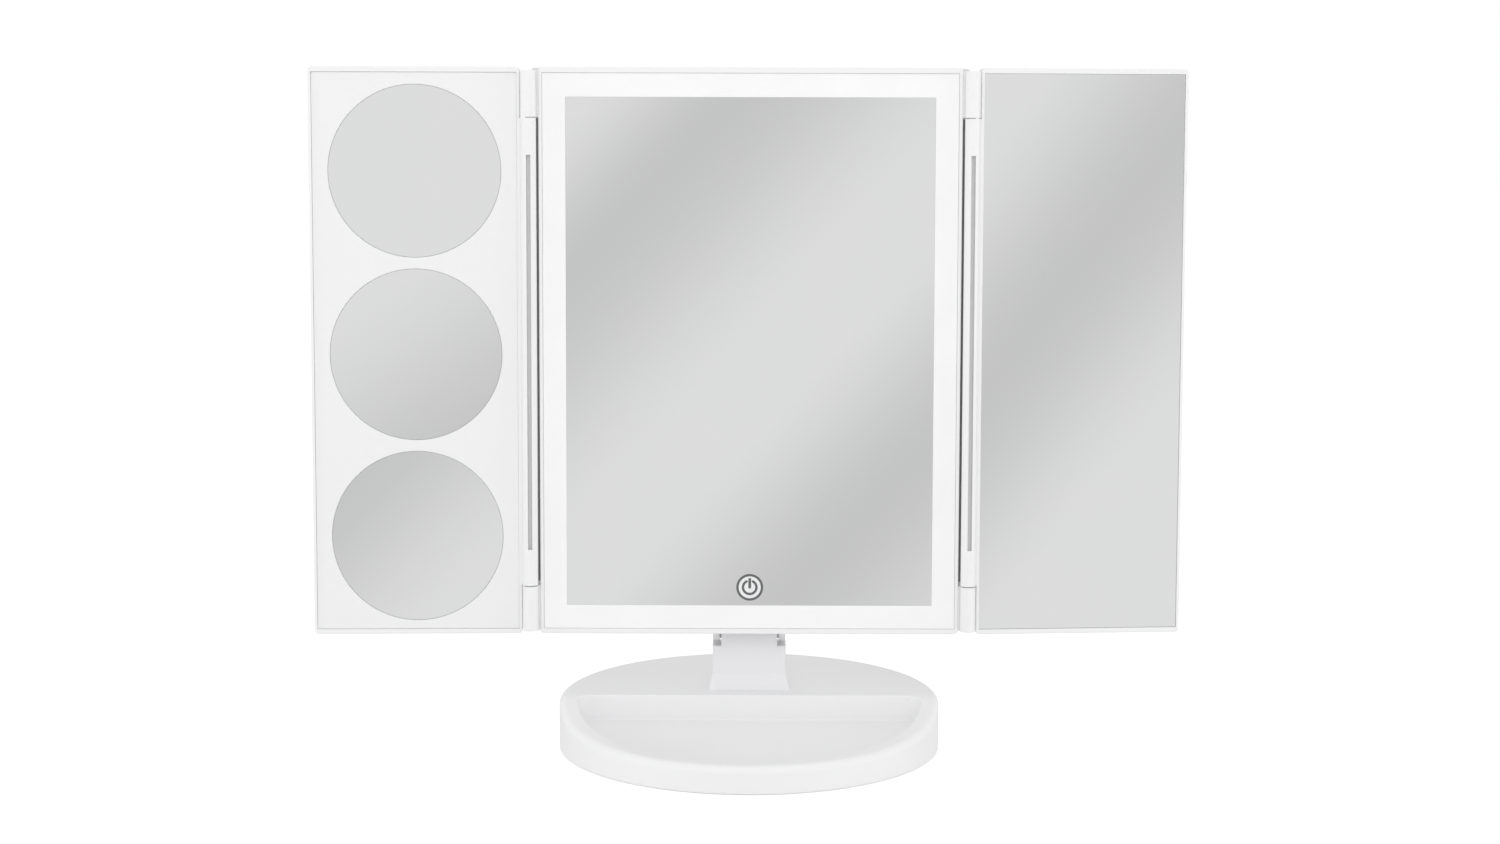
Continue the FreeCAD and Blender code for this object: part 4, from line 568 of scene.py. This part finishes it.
def printed_piece(name, mesh, ink):
    """A printed piece on the panel."""
    bmesh.ops.recalc_face_normals(mesh, faces=mesh.faces)
    piece = shown_mesh(name, mesh, PANEL, ink)
    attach(piece, "panel")


GREY_INK = printed_ink("grey ink", (0.15, 0.155, 0.16), (0.11, 0.112, 0.115))
FROSTING = printed_ink("frosted window", (0.87, 0.875, 0.88), (0.83, 0.835, 0.84))
ring_inner, ring_outer, window_radius = 4.4 * MM, 5.35 * MM, 4.9 * MM
arc_inner, arc_outer, arc_gap = 2.2 * MM, 3.15 * MM, math.radians(28)
bar_half, bar_low, bar_high = 0.55 * MM, 0.05 * MM, 3.2 * MM
sign = bmesh.new()
printed_ring(sign, ring_inner, ring_outer, 0, 2 * math.pi)
printed_ring(sign, arc_inner, arc_outer, arc_gap, 2 * math.pi - arc_gap)
bar = [(-bar_half, bar_low), (-bar_half, bar_high), (bar_half, bar_high), (bar_half, bar_low)]
printed_patch(sign, bar, PRINT_FRONT)
# dots a hair prouder than the print round off the ends of the arc and the bar
arc_middle, arc_half = (arc_inner + arc_outer) / 2, (arc_outer - arc_inner) / 2
arc_end = Vector((math.sin(arc_gap), math.cos(arc_gap))) * arc_middle
ends = [(-arc_end.x, arc_end.y, arc_half), (arc_end.x, arc_end.y, arc_half),
        (0, bar_low, bar_half), (0, bar_high, bar_half)]
for across, up, radius in ends:
    printed_patch(sign, dot_outline(across, up, radius), PRINT_FRONT * 1.02)
printed_piece("power_sign", sign, GREY_INK)
frost = bmesh.new()
printed_patch(frost, dot_outline(0, 0, window_radius, 72), PRINT_FRONT * 0.5)
printed_piece("key_window", frost, FROSTING)


# ------------------------------------------------------------------------------
# Lights: four strips of white circuit board with white light chips in even steps, behind the pane.
# Each chip is a small moulded case around a yellow phosphor window.
# ------------------------------------------------------------------------------
SOLDER_MASK = textured_plastic("white solder mask", (0.8, 0.81, 0.8), (0.76, 0.77, 0.76),
                               pit_scale=700.0, relief=0.15)
REFLECTOR = textured_plastic("white reflector film", (0.88, 0.88, 0.88), (0.85, 0.85, 0.85),
                             pit_scale=500.0)
finish(SOLDER_MASK, "light_boards")
finish(REFLECTOR, "reflector_sheet")


def chip_tree():
    """A straight row of light chips: case and phosphor window, in even steps about a middle."""
    inputs = (
        ("Count", "NodeSocketInt", 17),
        ("Pitch", "NodeSocketFloat", 12.0 * MM),
        ("Size", "NodeSocketFloat", 2.8 * MM),
        ("Height", "NodeSocketFloat", 0.7 * MM),
        ("Case", "NodeSocketMaterial", None),
        ("Phosphor", "NodeSocketMaterial", None),
    )
    tree, need, result, sockets = new_tree("light chip row", inputs)
    chip = tree.nodes.new("GeometryNodeJoinGeometry")
    for label, share, low, high in (("Case", 1.0, 0.12, 1.0), ("Phosphor", 0.72, 0.0, 0.5)):
        side = sum_up(tree, "MULTIPLY", need["Size"], share)
        size = vector_of(tree, side, sum_up(tree, "MULTIPLY", need["Height"], high - low), side)
        block = add_node(tree, "GeometryNodeMeshCube", {"Size": size})
        middle = sum_up(tree, "MULTIPLY", need["Height"], (low + high) / 2)
        fed = {"Geometry": block.outputs[0], "Translation": vector_of(tree, 0.0, middle, 0.0)}
        moved = add_node(tree, "GeometryNodeTransform", fed)
        fed = {"Geometry": moved.outputs[0], "Material": need[label]}
        feed(tree, chip.inputs[0], add_node(tree, "GeometryNodeSetMaterial", fed).outputs[0])
    half_count = sum_up(tree, "MULTIPLY", sum_up(tree, "SUBTRACT", need["Count"], 1.0), -0.5)
    start = vector_of(tree, sum_up(tree, "MULTIPLY", half_count, need["Pitch"]), 0.0, 0.0)
    step = vector_of(tree, need["Pitch"], 0.0, 0.0)
    fed = {"Count": need["Count"], "Offset": step, "Start Location": start}
    row = add_node(tree, "GeometryNodeMeshLine", fed)
    fed = {"Points": row.outputs[0], "Instance": chip.outputs[0]}
    placed = add_node(tree, "GeometryNodeInstanceOnPoints", fed)
    real = add_node(tree, "GeometryNodeRealizeInstances", {"Geometry": placed.outputs[0]})
    feed(tree, result, real.outputs[0])
    return tree, sockets


CHIP_TREE, CHIP_SOCKETS = chip_tree()
CHIP_CASE = textured_plastic("white chip case", (0.8, 0.8, 0.78), (0.75, 0.75, 0.73),
                             pit_scale=3000.0, relief=0.1)
PHOSPHOR = printed_ink("yellow phosphor", (0.86, 0.68, 0.12), (0.8, 0.58, 0.08))
CHIP_BACK = 5.3 * MM
FRAME_HIGH = 223.5 * MM
strip_side, strip_end = 76.925 * MM, 6.8 * MM
rows = (
    ("left", 17, Vector((-strip_side, CHIP_BACK, FRAME_HIGH / 2)), True),
    ("right", 17, Vector((strip_side, CHIP_BACK, FRAME_HIGH / 2)), True),
    ("bottom", 12, Vector((0, CHIP_BACK, strip_end)), False),
    ("top", 12, Vector((0, CHIP_BACK, FRAME_HIGH - strip_end)), False),
)
chips = bmesh.new()
for name, count, middle, upright in rows:
    seed = shown_mesh("chip_row_" + name, bmesh.new(), Matrix(), smooth=0.0)
    grow(seed, CHIP_TREE, CHIP_SOCKETS, {"Count": count, "Case": CHIP_CASE, "Phosphor": PHOSPHOR})
    turned = Matrix.Rotation(math.radians(-90), 4, "Y") if upright else Matrix()
    seed.data.transform(Matrix.Translation(middle) @ turned)
    chips.from_mesh(seed.data)
    bpy.data.objects.remove(seed)
light_chip_rows = shown_mesh("light_chip_rows", chips, PANEL, smooth=0.0)
for material in (CHIP_CASE, PHOSPHOR):
    light_chip_rows.data.materials.append(material)
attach(light_chip_rows, "panel")
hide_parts("light_chips")


# ------------------------------------------------------------------------------
# Rear housing: the back shell of finely textured white ABS, with the bulge for cells and circuit
# and the two ears on the tilt shaft. Four screws hold it to the frame.
# ------------------------------------------------------------------------------
def own_places(tree, body):
    """Distance from the middle, depth and height of a place, in the directions of its own body."""
    place = on_object(tree)
    found = []
    for row in body.inverted()[:3]:
        fed = {0: place, 1: row[:3]}
        dot = add_node(tree, "ShaderNodeVectorMath", fed, operation="DOT_PRODUCT")
        found.append(sum_up(tree, "ADD", dot.outputs["Value"], row[3]))
    return sum_up(tree, "ABSOLUTE", found[0]), found[1], found[2]


def with_painted_shade(material, masks, tone):
    """The material with painted shade, a flat grey, where all the masks say so."""
    tree = material.node_tree
    colour = tree.nodes["Principled BSDF"].inputs["Base Color"]
    painted_shade = masks[0]
    for mask in masks[1:]:
        painted_shade = sum_up(tree, "MULTIPLY", painted_shade, mask)
    clean = colour.links[0].from_socket
    feed(tree, colour, two_tones(tree, painted_shade, clean, (tone, tone, tone)))
    return material


def housing_plastic(name):
    """Finely textured white plastic of the housing and its door."""
    return textured_plastic(name, (0.875, 0.877, 0.88), (0.855, 0.858, 0.862),
                            pit_scale=1100.0, relief=0.25)


def shaded_rim(name):
    """The housing's plastic, with painted shade, a dark grey, on its rim in the narrow gap behind
    the knuckles.
    """
    material = housing_plastic(name)
    rim_from, gap_end, knuckle_reach, shade_tone = 82.92 * MM, 9.1 * MM, 92.0 * MM, 0.3
    tree = material.node_tree
    across, depth, height = own_places(tree, PANEL)
    from_middle = sum_up(tree, "ABSOLUTE", sum_up(tree, "SUBTRACT", height, FRAME_HIGH / 2))
    masks = (
        sum_up(tree, "GREATER_THAN", across, rim_from),
        sum_up(tree, "LESS_THAN", depth, gap_end),
        sum_up(tree, "LESS_THAN", from_middle, knuckle_reach),
    )
    # the rim in the gap behind the knuckles is painted dark grey: painted shade
    return with_painted_shade(material, masks, shade_tone)


finish(shaded_rim("white ABS, housing"), "rear_housing")
corner_across, corner_behind, corner_up = 76.7 * MM, 9.0 * MM, 6.2 * MM
housing_places = [
    Vector((side * corner_across, corner_behind, up))
    for side in (-1, 1) for up in (corner_up, FRAME_HIGH - corner_up)
]
screws("rear_screws", housing_places, ACROSS, UPWARD, PANEL, 4.1 * MM, "panel",
       "housing_screws")


# ------------------------------------------------------------------------------
# Electronics: a green circuit board on four posts, a pressed steel power inlet, the copper touch
# pad glued behind the key and the coil spring that joins it to the board.
# ------------------------------------------------------------------------------
def circuit_board(name):
    """Green solder mask over copper tracks, with a woven glass grain under it."""
    material, tree, shader = new_material(name)
    track_scale, track_width, track_depth, weave_scale = 240.0, 0.06, 0.05 * MM, 400.0
    smooth, dull = 0.25, 0.4
    place = on_object(tree)
    turn = add_node(tree, "ShaderNodeMapping",
                    {"Vector": place, "Rotation": (math.radians(90), 0, 0)})
    fed = {"Vector": turn.outputs[0], "Scale": track_scale, "Mortar Size": track_width}
    bricks = add_node(tree, "ShaderNodeTexBrick", fed, offset=0.37, squash_frequency=3)
    tracks = bricks.outputs["Fac"]
    shade = remap(tree, noise(tree, place, weave_scale, 3.0), 0.35, 0.7)
    masked = two_tones(tree, shade, (0.02, 0.15, 0.06), (0.03, 0.2, 0.08))
    colour = two_tones(tree, tracks, masked, (0.08, 0.32, 0.12))
    rough = remap(tree, shade, 0.0, 1.0, smooth, dull)
    dress(tree, shader, colour, rough, bump(tree, tracks, 0.3, track_depth))
    return material


COPPER = plated_steel("copper foil", (0.8, 0.42, 0.26), (0.66, 0.33, 0.2),
                      smooth=0.2, dull=0.36, cloud=300.0)
finish(circuit_board("green circuit board"), "circuit_board")
finish(BRIGHT_STEEL, "board_screws", "power_inlet", "touch_spring")
finish(COPPER, "touch_sensor_pad")


# ------------------------------------------------------------------------------
# Battery: four cells in a shrunk plastic wrap, side by side, with plated contact plates and
# conical springs at their ends.
# ------------------------------------------------------------------------------
def ramp(tree, factor, blend, stops):
    """A colour ramp with (place, tone) stops in rising order, the places from 0 to 1."""
    node = add_node(tree, "ShaderNodeValToRGB", {"Fac": factor})
    node.color_ramp.interpolation = blend
    marks = node.color_ramp.elements
    for index, (where, tone) in enumerate(stops):
        mark = marks[index] if index < 2 else marks.new(where)
        mark.position = where
        mark.color = (*tone, 1.0)
    return node.outputs["Color"]


def cell_wrap(name, low, high):
    """A dark wrap with a lighter band near one end and bare zinc at both ends."""
    material, tree, shader = new_material(name)
    zinc, wrap, copper = (0.62, 0.62, 0.62), (0.07, 0.09, 0.11), (0.6, 0.34, 0.14)
    wear_scale, wear_depth, smooth, dull = 240.0, 0.08 * MM, 0.22, 0.36
    place = on_object(tree)
    split = add_node(tree, "ShaderNodeSeparateXYZ", {0: place})
    along = remap(tree, split.outputs["Z"], low, high)
    stops = ((0.0, zinc), (0.02, wrap), (0.7, copper), (0.96, zinc))
    wear = noise(tree, place, wear_scale, 4.0)
    rough = remap(tree, wear, *NOISE_SPAN, smooth, dull)
    worn = bump(tree, wear, 0.12, wear_depth)
    dress(tree, shader, ramp(tree, along, "CONSTANT", stops), rough, worn)
    shader.inputs["Metallic"].default_value = 0.55
    return material


cells_low, cells_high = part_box("battery_cells")
finish(cell_wrap("cell wrap", cells_low.z, cells_high.z), "battery_cells")
finish(BRIGHT_STEEL, "battery_contacts")


# ------------------------------------------------------------------------------
# Battery door: a lid of the housing's plastic, hung on two stubs at its lower edge, with a latch
# tongue and grip grooves at the other end.
# ------------------------------------------------------------------------------
finish(housing_plastic("white ABS, door"), "battery_door")


# ------------------------------------------------------------------------------
# Hinge pins: four turned steel pins, pressed into the frame's knuckles, on which the wings fold.
# ------------------------------------------------------------------------------
finish(BRIGHT_STEEL, "left_hinge_pins", "right_hinge_pins")


# ------------------------------------------------------------------------------
# Left wing: a shell of polished white ABS with the long hinge knuckle, and a white face panel.
# Three dished round mirrors of silvered glass, each stronger than the one above, sit in the face.
# ------------------------------------------------------------------------------
def wing_plastic(name, wing):
    """The wings' plastic, with painted shade in the long groove of the knuckle, darker deeper in.
    """
    material = polished_plastic(name, *ABS_TONES)
    groove_half, shade_from, shade_full = 0.9 * MM, -2.9 * MM, -1.9 * MM
    groove_end, shade_tone = -0.7 * MM, 0.76
    tree = material.node_tree
    across, depth = own_places(tree, wing)[:2]
    masks = (
        sum_up(tree, "LESS_THAN", across, groove_half),
        remap(tree, depth, shade_from, shade_full),
        sum_up(tree, "LESS_THAN", depth, groove_end),
    )
    # the groove of the knuckle is painted grey, darker deeper in: painted shade
    return with_painted_shade(material, masks, shade_tone)


def wing_place(side, turn):
    """The place of a wing: its hinge pin, and how far it is turned from the panel's plane."""
    pin_across, pin_ahead = 86.7 * MM, 1.5 * MM
    pin = Matrix.Translation((side * pin_across, -pin_ahead, 0))
    return PANEL @ pin @ Matrix.Rotation(math.radians(turn), 4, "Z")


LEFT_WING = wing_place(-1, 2.0)
FACE_ABS = polished_plastic("white ABS, face", (0.886, 0.886, 0.889), (0.88, 0.88, 0.884),
                            smooth=0.3, dull=0.32)
finish(wing_plastic("white ABS, left wing", LEFT_WING), "left_wing_shell")
finish(FACE_ABS, "left_face_panel")
ROUND_RADIUS, ROUND_MIDDLE = 33.7 * MM, -44.525 * MM
WING_FACE, PANE_THICK, GROUND_EDGE = 1.5 * MM, 2.4 * MM, 0.1 * MM
HOLLOW_STEPS = 24


def turned_disc(outline, centre, steps=128):
    """A disc turned about an axis that points ahead; its outline is (radius, depth) pairs."""
    mesh = bmesh.new()
    turns = [2 * math.pi * index / steps for index in range(steps)]
    rings = []
    for radius, depth in outline:
        ways = [Vector((radius * math.sin(turn), depth, radius * math.cos(turn)))
                for turn in (turns if radius else (0.0,))]
        rings.append([mesh.verts.new(centre + way) for way in ways])
    for one, two in zip(rings, rings[1:]):
        for index in range(steps):
            after = (index + 1) % steps
            corners = [one[index % len(one)], one[after % len(one)],
                       two[after % len(two)], two[index % len(two)]]
            mesh.faces.new(list(dict.fromkeys(corners)))
    bmesh.ops.recalc_face_normals(mesh, faces=mesh.faces)
    return mesh


round_mirrors = (
    ("top", 183.05 * MM, 0.35 * MM),
    ("middle", 111.15 * MM, 0.7 * MM),
    ("bottom", 39.25 * MM, 1.05 * MM),
)
for name, height, dish in round_mirrors:
    bend = (ROUND_RADIUS ** 2 + dish ** 2) / (2 * dish)
    radii = [(ROUND_RADIUS - GROUND_EDGE) * index / HOLLOW_STEPS
             for index in range(HOLLOW_STEPS + 1)]
    hollow = [(radius, dish - bend + math.sqrt(bend ** 2 - radius ** 2)) for radius in radii]
    rim = [(ROUND_RADIUS, hollow[-1][1] + GROUND_EDGE), (ROUND_RADIUS, PANE_THICK - GROUND_EDGE)]
    flat = [(radius, PANE_THICK) for radius in (ROUND_RADIUS - GROUND_EDGE, ROUND_RADIUS / 2, 0)]
    glass = turned_disc(hollow + rim + flat, Vector((ROUND_MIDDLE, WING_FACE, height)))
    dished = shown_mesh("dished_mirror_" + name, glass, LEFT_WING, MIRROR, 30.0)
    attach(dished, "left_wing")
    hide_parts("round_mirror_" + name)


# ------------------------------------------------------------------------------
# Right wing: the matching shell of polished white ABS with one plain mirror set in its lip.
# ------------------------------------------------------------------------------
finish(wing_plastic("white ABS, right wing", wing_place(1, 5.0)), "right_wing_shell")
finish(MIRROR, "right_mirror")


# ------------------------------------------------------------------------------
# Floor: a wide pale table that keeps the shadow, in a white studio.
# ------------------------------------------------------------------------------
FLOOR_LIFT, AROUND_LIGHT = 0.42, 0.8
TABLE_HALF, TABLE_DROP = 4.0, 0.1 * MM


def seen_or_mirrored(tree):
    """1 for rays from the camera, off mirrors or through glass, and 0 for the light that falls."""
    path = tree.nodes.new("ShaderNodeLightPath").outputs
    seen = sum_up(tree, "ADD", path["Is Camera Ray"], path["Is Glossy Ray"])
    return sum_up(tree, "MINIMUM", sum_up(tree, "ADD", seen, path["Is Transmission Ray"]), 1.0)


def pale_floor(name):
    """Matt pale paint; a part of its whiteness is its own, so that the shadow stays soft."""
    material, tree, shader = new_material(name)
    fleck_scale = 40.0
    flecks = remap(tree, noise(tree, on_object(tree), fleck_scale, 3.0), *NOISE_SPAN)
    feed(tree, shader.inputs["Base Color"],
         two_tones(tree, flecks, (0.86, 0.86, 0.86), (0.88, 0.88, 0.88)))
    shader.inputs["Roughness"].default_value = 0.9
    shader.inputs["Specular IOR Level"].default_value = 0.1
    shader.inputs["Emission Color"].default_value = (1.0, 1.0, 1.0, 1.0)
    lift = sum_up(tree, "MULTIPLY", seen_or_mirrored(tree), FLOOR_LIFT)
    feed(tree, shader.inputs["Emission Strength"], lift)
    return material


table = bmesh.new()
bmesh.ops.create_grid(table, x_segments=2, y_segments=2, size=TABLE_HALF)
floor_place = Matrix.Translation((0, 0, -TABLE_DROP))
floor = shown_mesh("floor", table, floor_place, pale_floor("pale floor"), 0.0)
floor.visible_glossy = False

world = bpy.data.worlds.new("white studio")
bpy.context.scene.world = world
world.use_nodes = True
studio = world.node_tree
background = studio.nodes["Background"]
background.inputs["Color"].default_value = (1.0, 1.0, 1.0, 1.0)
level = sum_up(studio, "MULTIPLY_ADD", seen_or_mirrored(studio), 1.0 - AROUND_LIGHT, AROUND_LIGHT)
feed(studio, background.inputs["Strength"], level)


# ------------------------------------------------------------------------------
# Grey sweep: a tub of soft grey card around the table that only mirrors and gloss see.
# Its slanting soft bands give the mirrors their quiet greys.
# ------------------------------------------------------------------------------
SWEEP_RADIUS, SWEEP_LOW, SWEEP_HIGH = 0.5, -0.3, 0.62
LIGHT, MIDDLING, DARK = 0.795, 0.74, 0.613


def sweep_card(name):
    """Slanting bands of grey across the card, that fade out below the table's level."""
    material = bpy.data.materials.new(name)
    material.use_nodes = True
    tree = material.node_tree
    tree.nodes.clear()
    split = add_node(tree, "ShaderNodeSeparateXYZ", {0: on_object(tree)})
    across, up = split.outputs["X"], split.outputs["Z"]
    slanted = []
    for slant in (math.radians(47), math.radians(55)):
        side = sum_up(tree, "MULTIPLY", across, math.sin(slant))
        slanted.append(sum_up(tree, "MULTIPLY_ADD", up, -math.cos(slant), side))
    # the bands step on and get steeper on the right, and step back on the left
    left_edge, left_step, right_edge, right_step = (-0.118, -0.108), -0.3, (0.11, 0.21), 0.2
    right = remap(tree, across, *right_edge, smooth=True)
    left = remap(tree, across, *left_edge, left_step, 0.0, smooth=True)
    steeper = sum_up(tree, "ADD", sum_up(tree, "SUBTRACT", slanted[1], slanted[0]), right_step)
    bands = sum_up(tree, "ADD", sum_up(tree, "MULTIPLY_ADD", right, steeper, slanted[0]), left)
    # on the left they lie flatter above the middle, turned about a point there
    beside = remap(tree, across, *left_edge, 1.0, 0.0)
    above = remap(tree, up, 0.08, 0.11, smooth=True)
    about_across, about_up, lean_across, lean_up = -0.156, 0.142, -0.172, -0.147
    turned = sum_up(tree, "MULTIPLY_ADD", across, lean_across, -lean_across * about_across)
    turned = sum_up(tree, "ADD", turned, -lean_up * about_up)
    turned = sum_up(tree, "MULTIPLY_ADD", up, lean_up, turned)
    bands = sum_up(tree, "MULTIPLY_ADD", turned, sum_up(tree, "MULTIPLY", beside, above), bands)
    low, high = -0.62, 0.46
    tones = (
        (-0.615, LIGHT), (-0.521, LIGHT), (-0.498, DARK), (-0.46, LIGHT), (-0.45, LIGHT),
        (-0.43, DARK), (-0.34, MIDDLING), (-0.27, LIGHT), (-0.205, DARK), (-0.095, LIGHT),
        (-0.07, LIGHT), (0.015, DARK), (0.095, MIDDLING), (0.22, LIGHT), (0.303, DARK),
        (0.39, LIGHT),
    )
    stops = [((where - low) / (high - low), (tone, tone, tone)) for where, tone in tones]
    grey = ramp(tree, remap(tree, bands, low, high), "EASE", stops)
    plain = 0.76
    banded = remap(tree, up, -0.15, 0.0, smooth=True)
    above_plain = sum_up(tree, "SUBTRACT", grey, plain)
    tone = sum_up(tree, "MULTIPLY_ADD", above_plain, banded, plain)
    glow = add_node(tree, "ShaderNodeEmission", {"Color": tone})
    clear = tree.nodes.new("ShaderNodeBsdfTransparent")
    path = tree.nodes.new("ShaderNodeLightPath")
    fed = {0: path.outputs["Is Glossy Ray"], 1: clear.outputs[0], 2: glow.outputs[0]}
    only = add_node(tree, "ShaderNodeMixShader", fed)
    add_node(tree, "ShaderNodeOutputMaterial", {"Surface": only.outputs[0]})
    return material


tub = bmesh.new()
bmesh.ops.create_circle(tub, cap_ends=True, radius=SWEEP_RADIUS, segments=128)
walls = bmesh.ops.extrude_edge_only(tub, edges=tub.edges[:])
for corner in walls["geom"]:
    if isinstance(corner, bmesh.types.BMVert):
        corner.co.z += SWEEP_HIGH - SWEEP_LOW
sweep_place = Matrix.Translation((0, 0, SWEEP_LOW))
sweep = shown_mesh("grey_sweep", tub, sweep_place, sweep_card("grey sweep"), 60.0)
sweep.visible_camera = False
sweep.visible_diffuse = False
sweep.visible_shadow = False
sweep.visible_transmission = False


# ------------------------------------------------------------------------------
# Lamps: one wide soft box in front, well above the object, and a low one on each side.
# ------------------------------------------------------------------------------
def soft_box(name, where, aim, wide, high, power):
    """A soft box that looks at a point of the object."""
    lamp = bpy.data.lights.new(name, "AREA")
    lamp.shape = "RECTANGLE"
    lamp.size = wide
    lamp.size_y = high
    lamp.energy = power
    piece = bpy.data.objects.new(name, lamp)
    piece.location = where
    piece.rotation_euler = (Vector(aim) - Vector(where)).to_track_quat("-Z", "Y").to_euler()
    piece.visible_glossy = False
    bpy.context.collection.objects.link(piece)


soft_box("front_light", (0.0, -1.7, 0.85), aim=(0, 0, 0.12), wide=1.6, high=1.0, power=6.4)
for side in (-1, 1):
    soft_box("side_light", (side * 1.75, -0.3, 0.32), aim=(0, 0, 0.08),
             wide=0.9, high=0.5, power=4.0)


# ------------------------------------------------------------------------------
# Camera: a long lens a little above the object, level but for a sixth of a degree.
# ------------------------------------------------------------------------------
lens = bpy.data.cameras.new("camera")
lens.sensor_width = 36.0
lens.lens = 65.2245
camera = bpy.data.objects.new("camera", lens)
bpy.context.collection.objects.link(camera)
tilt, roll = math.radians(8.1886), math.radians(0.15446)
ahead = Vector((0, math.cos(tilt), -math.sin(tilt)))
level_right, level_up = Vector((1, 0, 0)), Vector((0, math.sin(tilt), math.cos(tilt)))
right_way = level_right * math.cos(roll) + level_up * math.sin(roll)
up_way = level_up * math.cos(roll) - level_right * math.sin(roll)
aimed_at, distance = Vector((0.084, -6.7, 131.52)) * MM, 1.06926
eye = aimed_at - ahead * distance
camera.matrix_world = Matrix((
    (right_way.x, up_way.x, -ahead.x, eye.x),
    (right_way.y, up_way.y, -ahead.y, eye.y),
    (right_way.z, up_way.z, -ahead.z, eye.z),
    (0, 0, 0, 1),
))
bpy.context.scene.camera = camera
bpy.context.scene.view_settings.view_transform = "Standard"
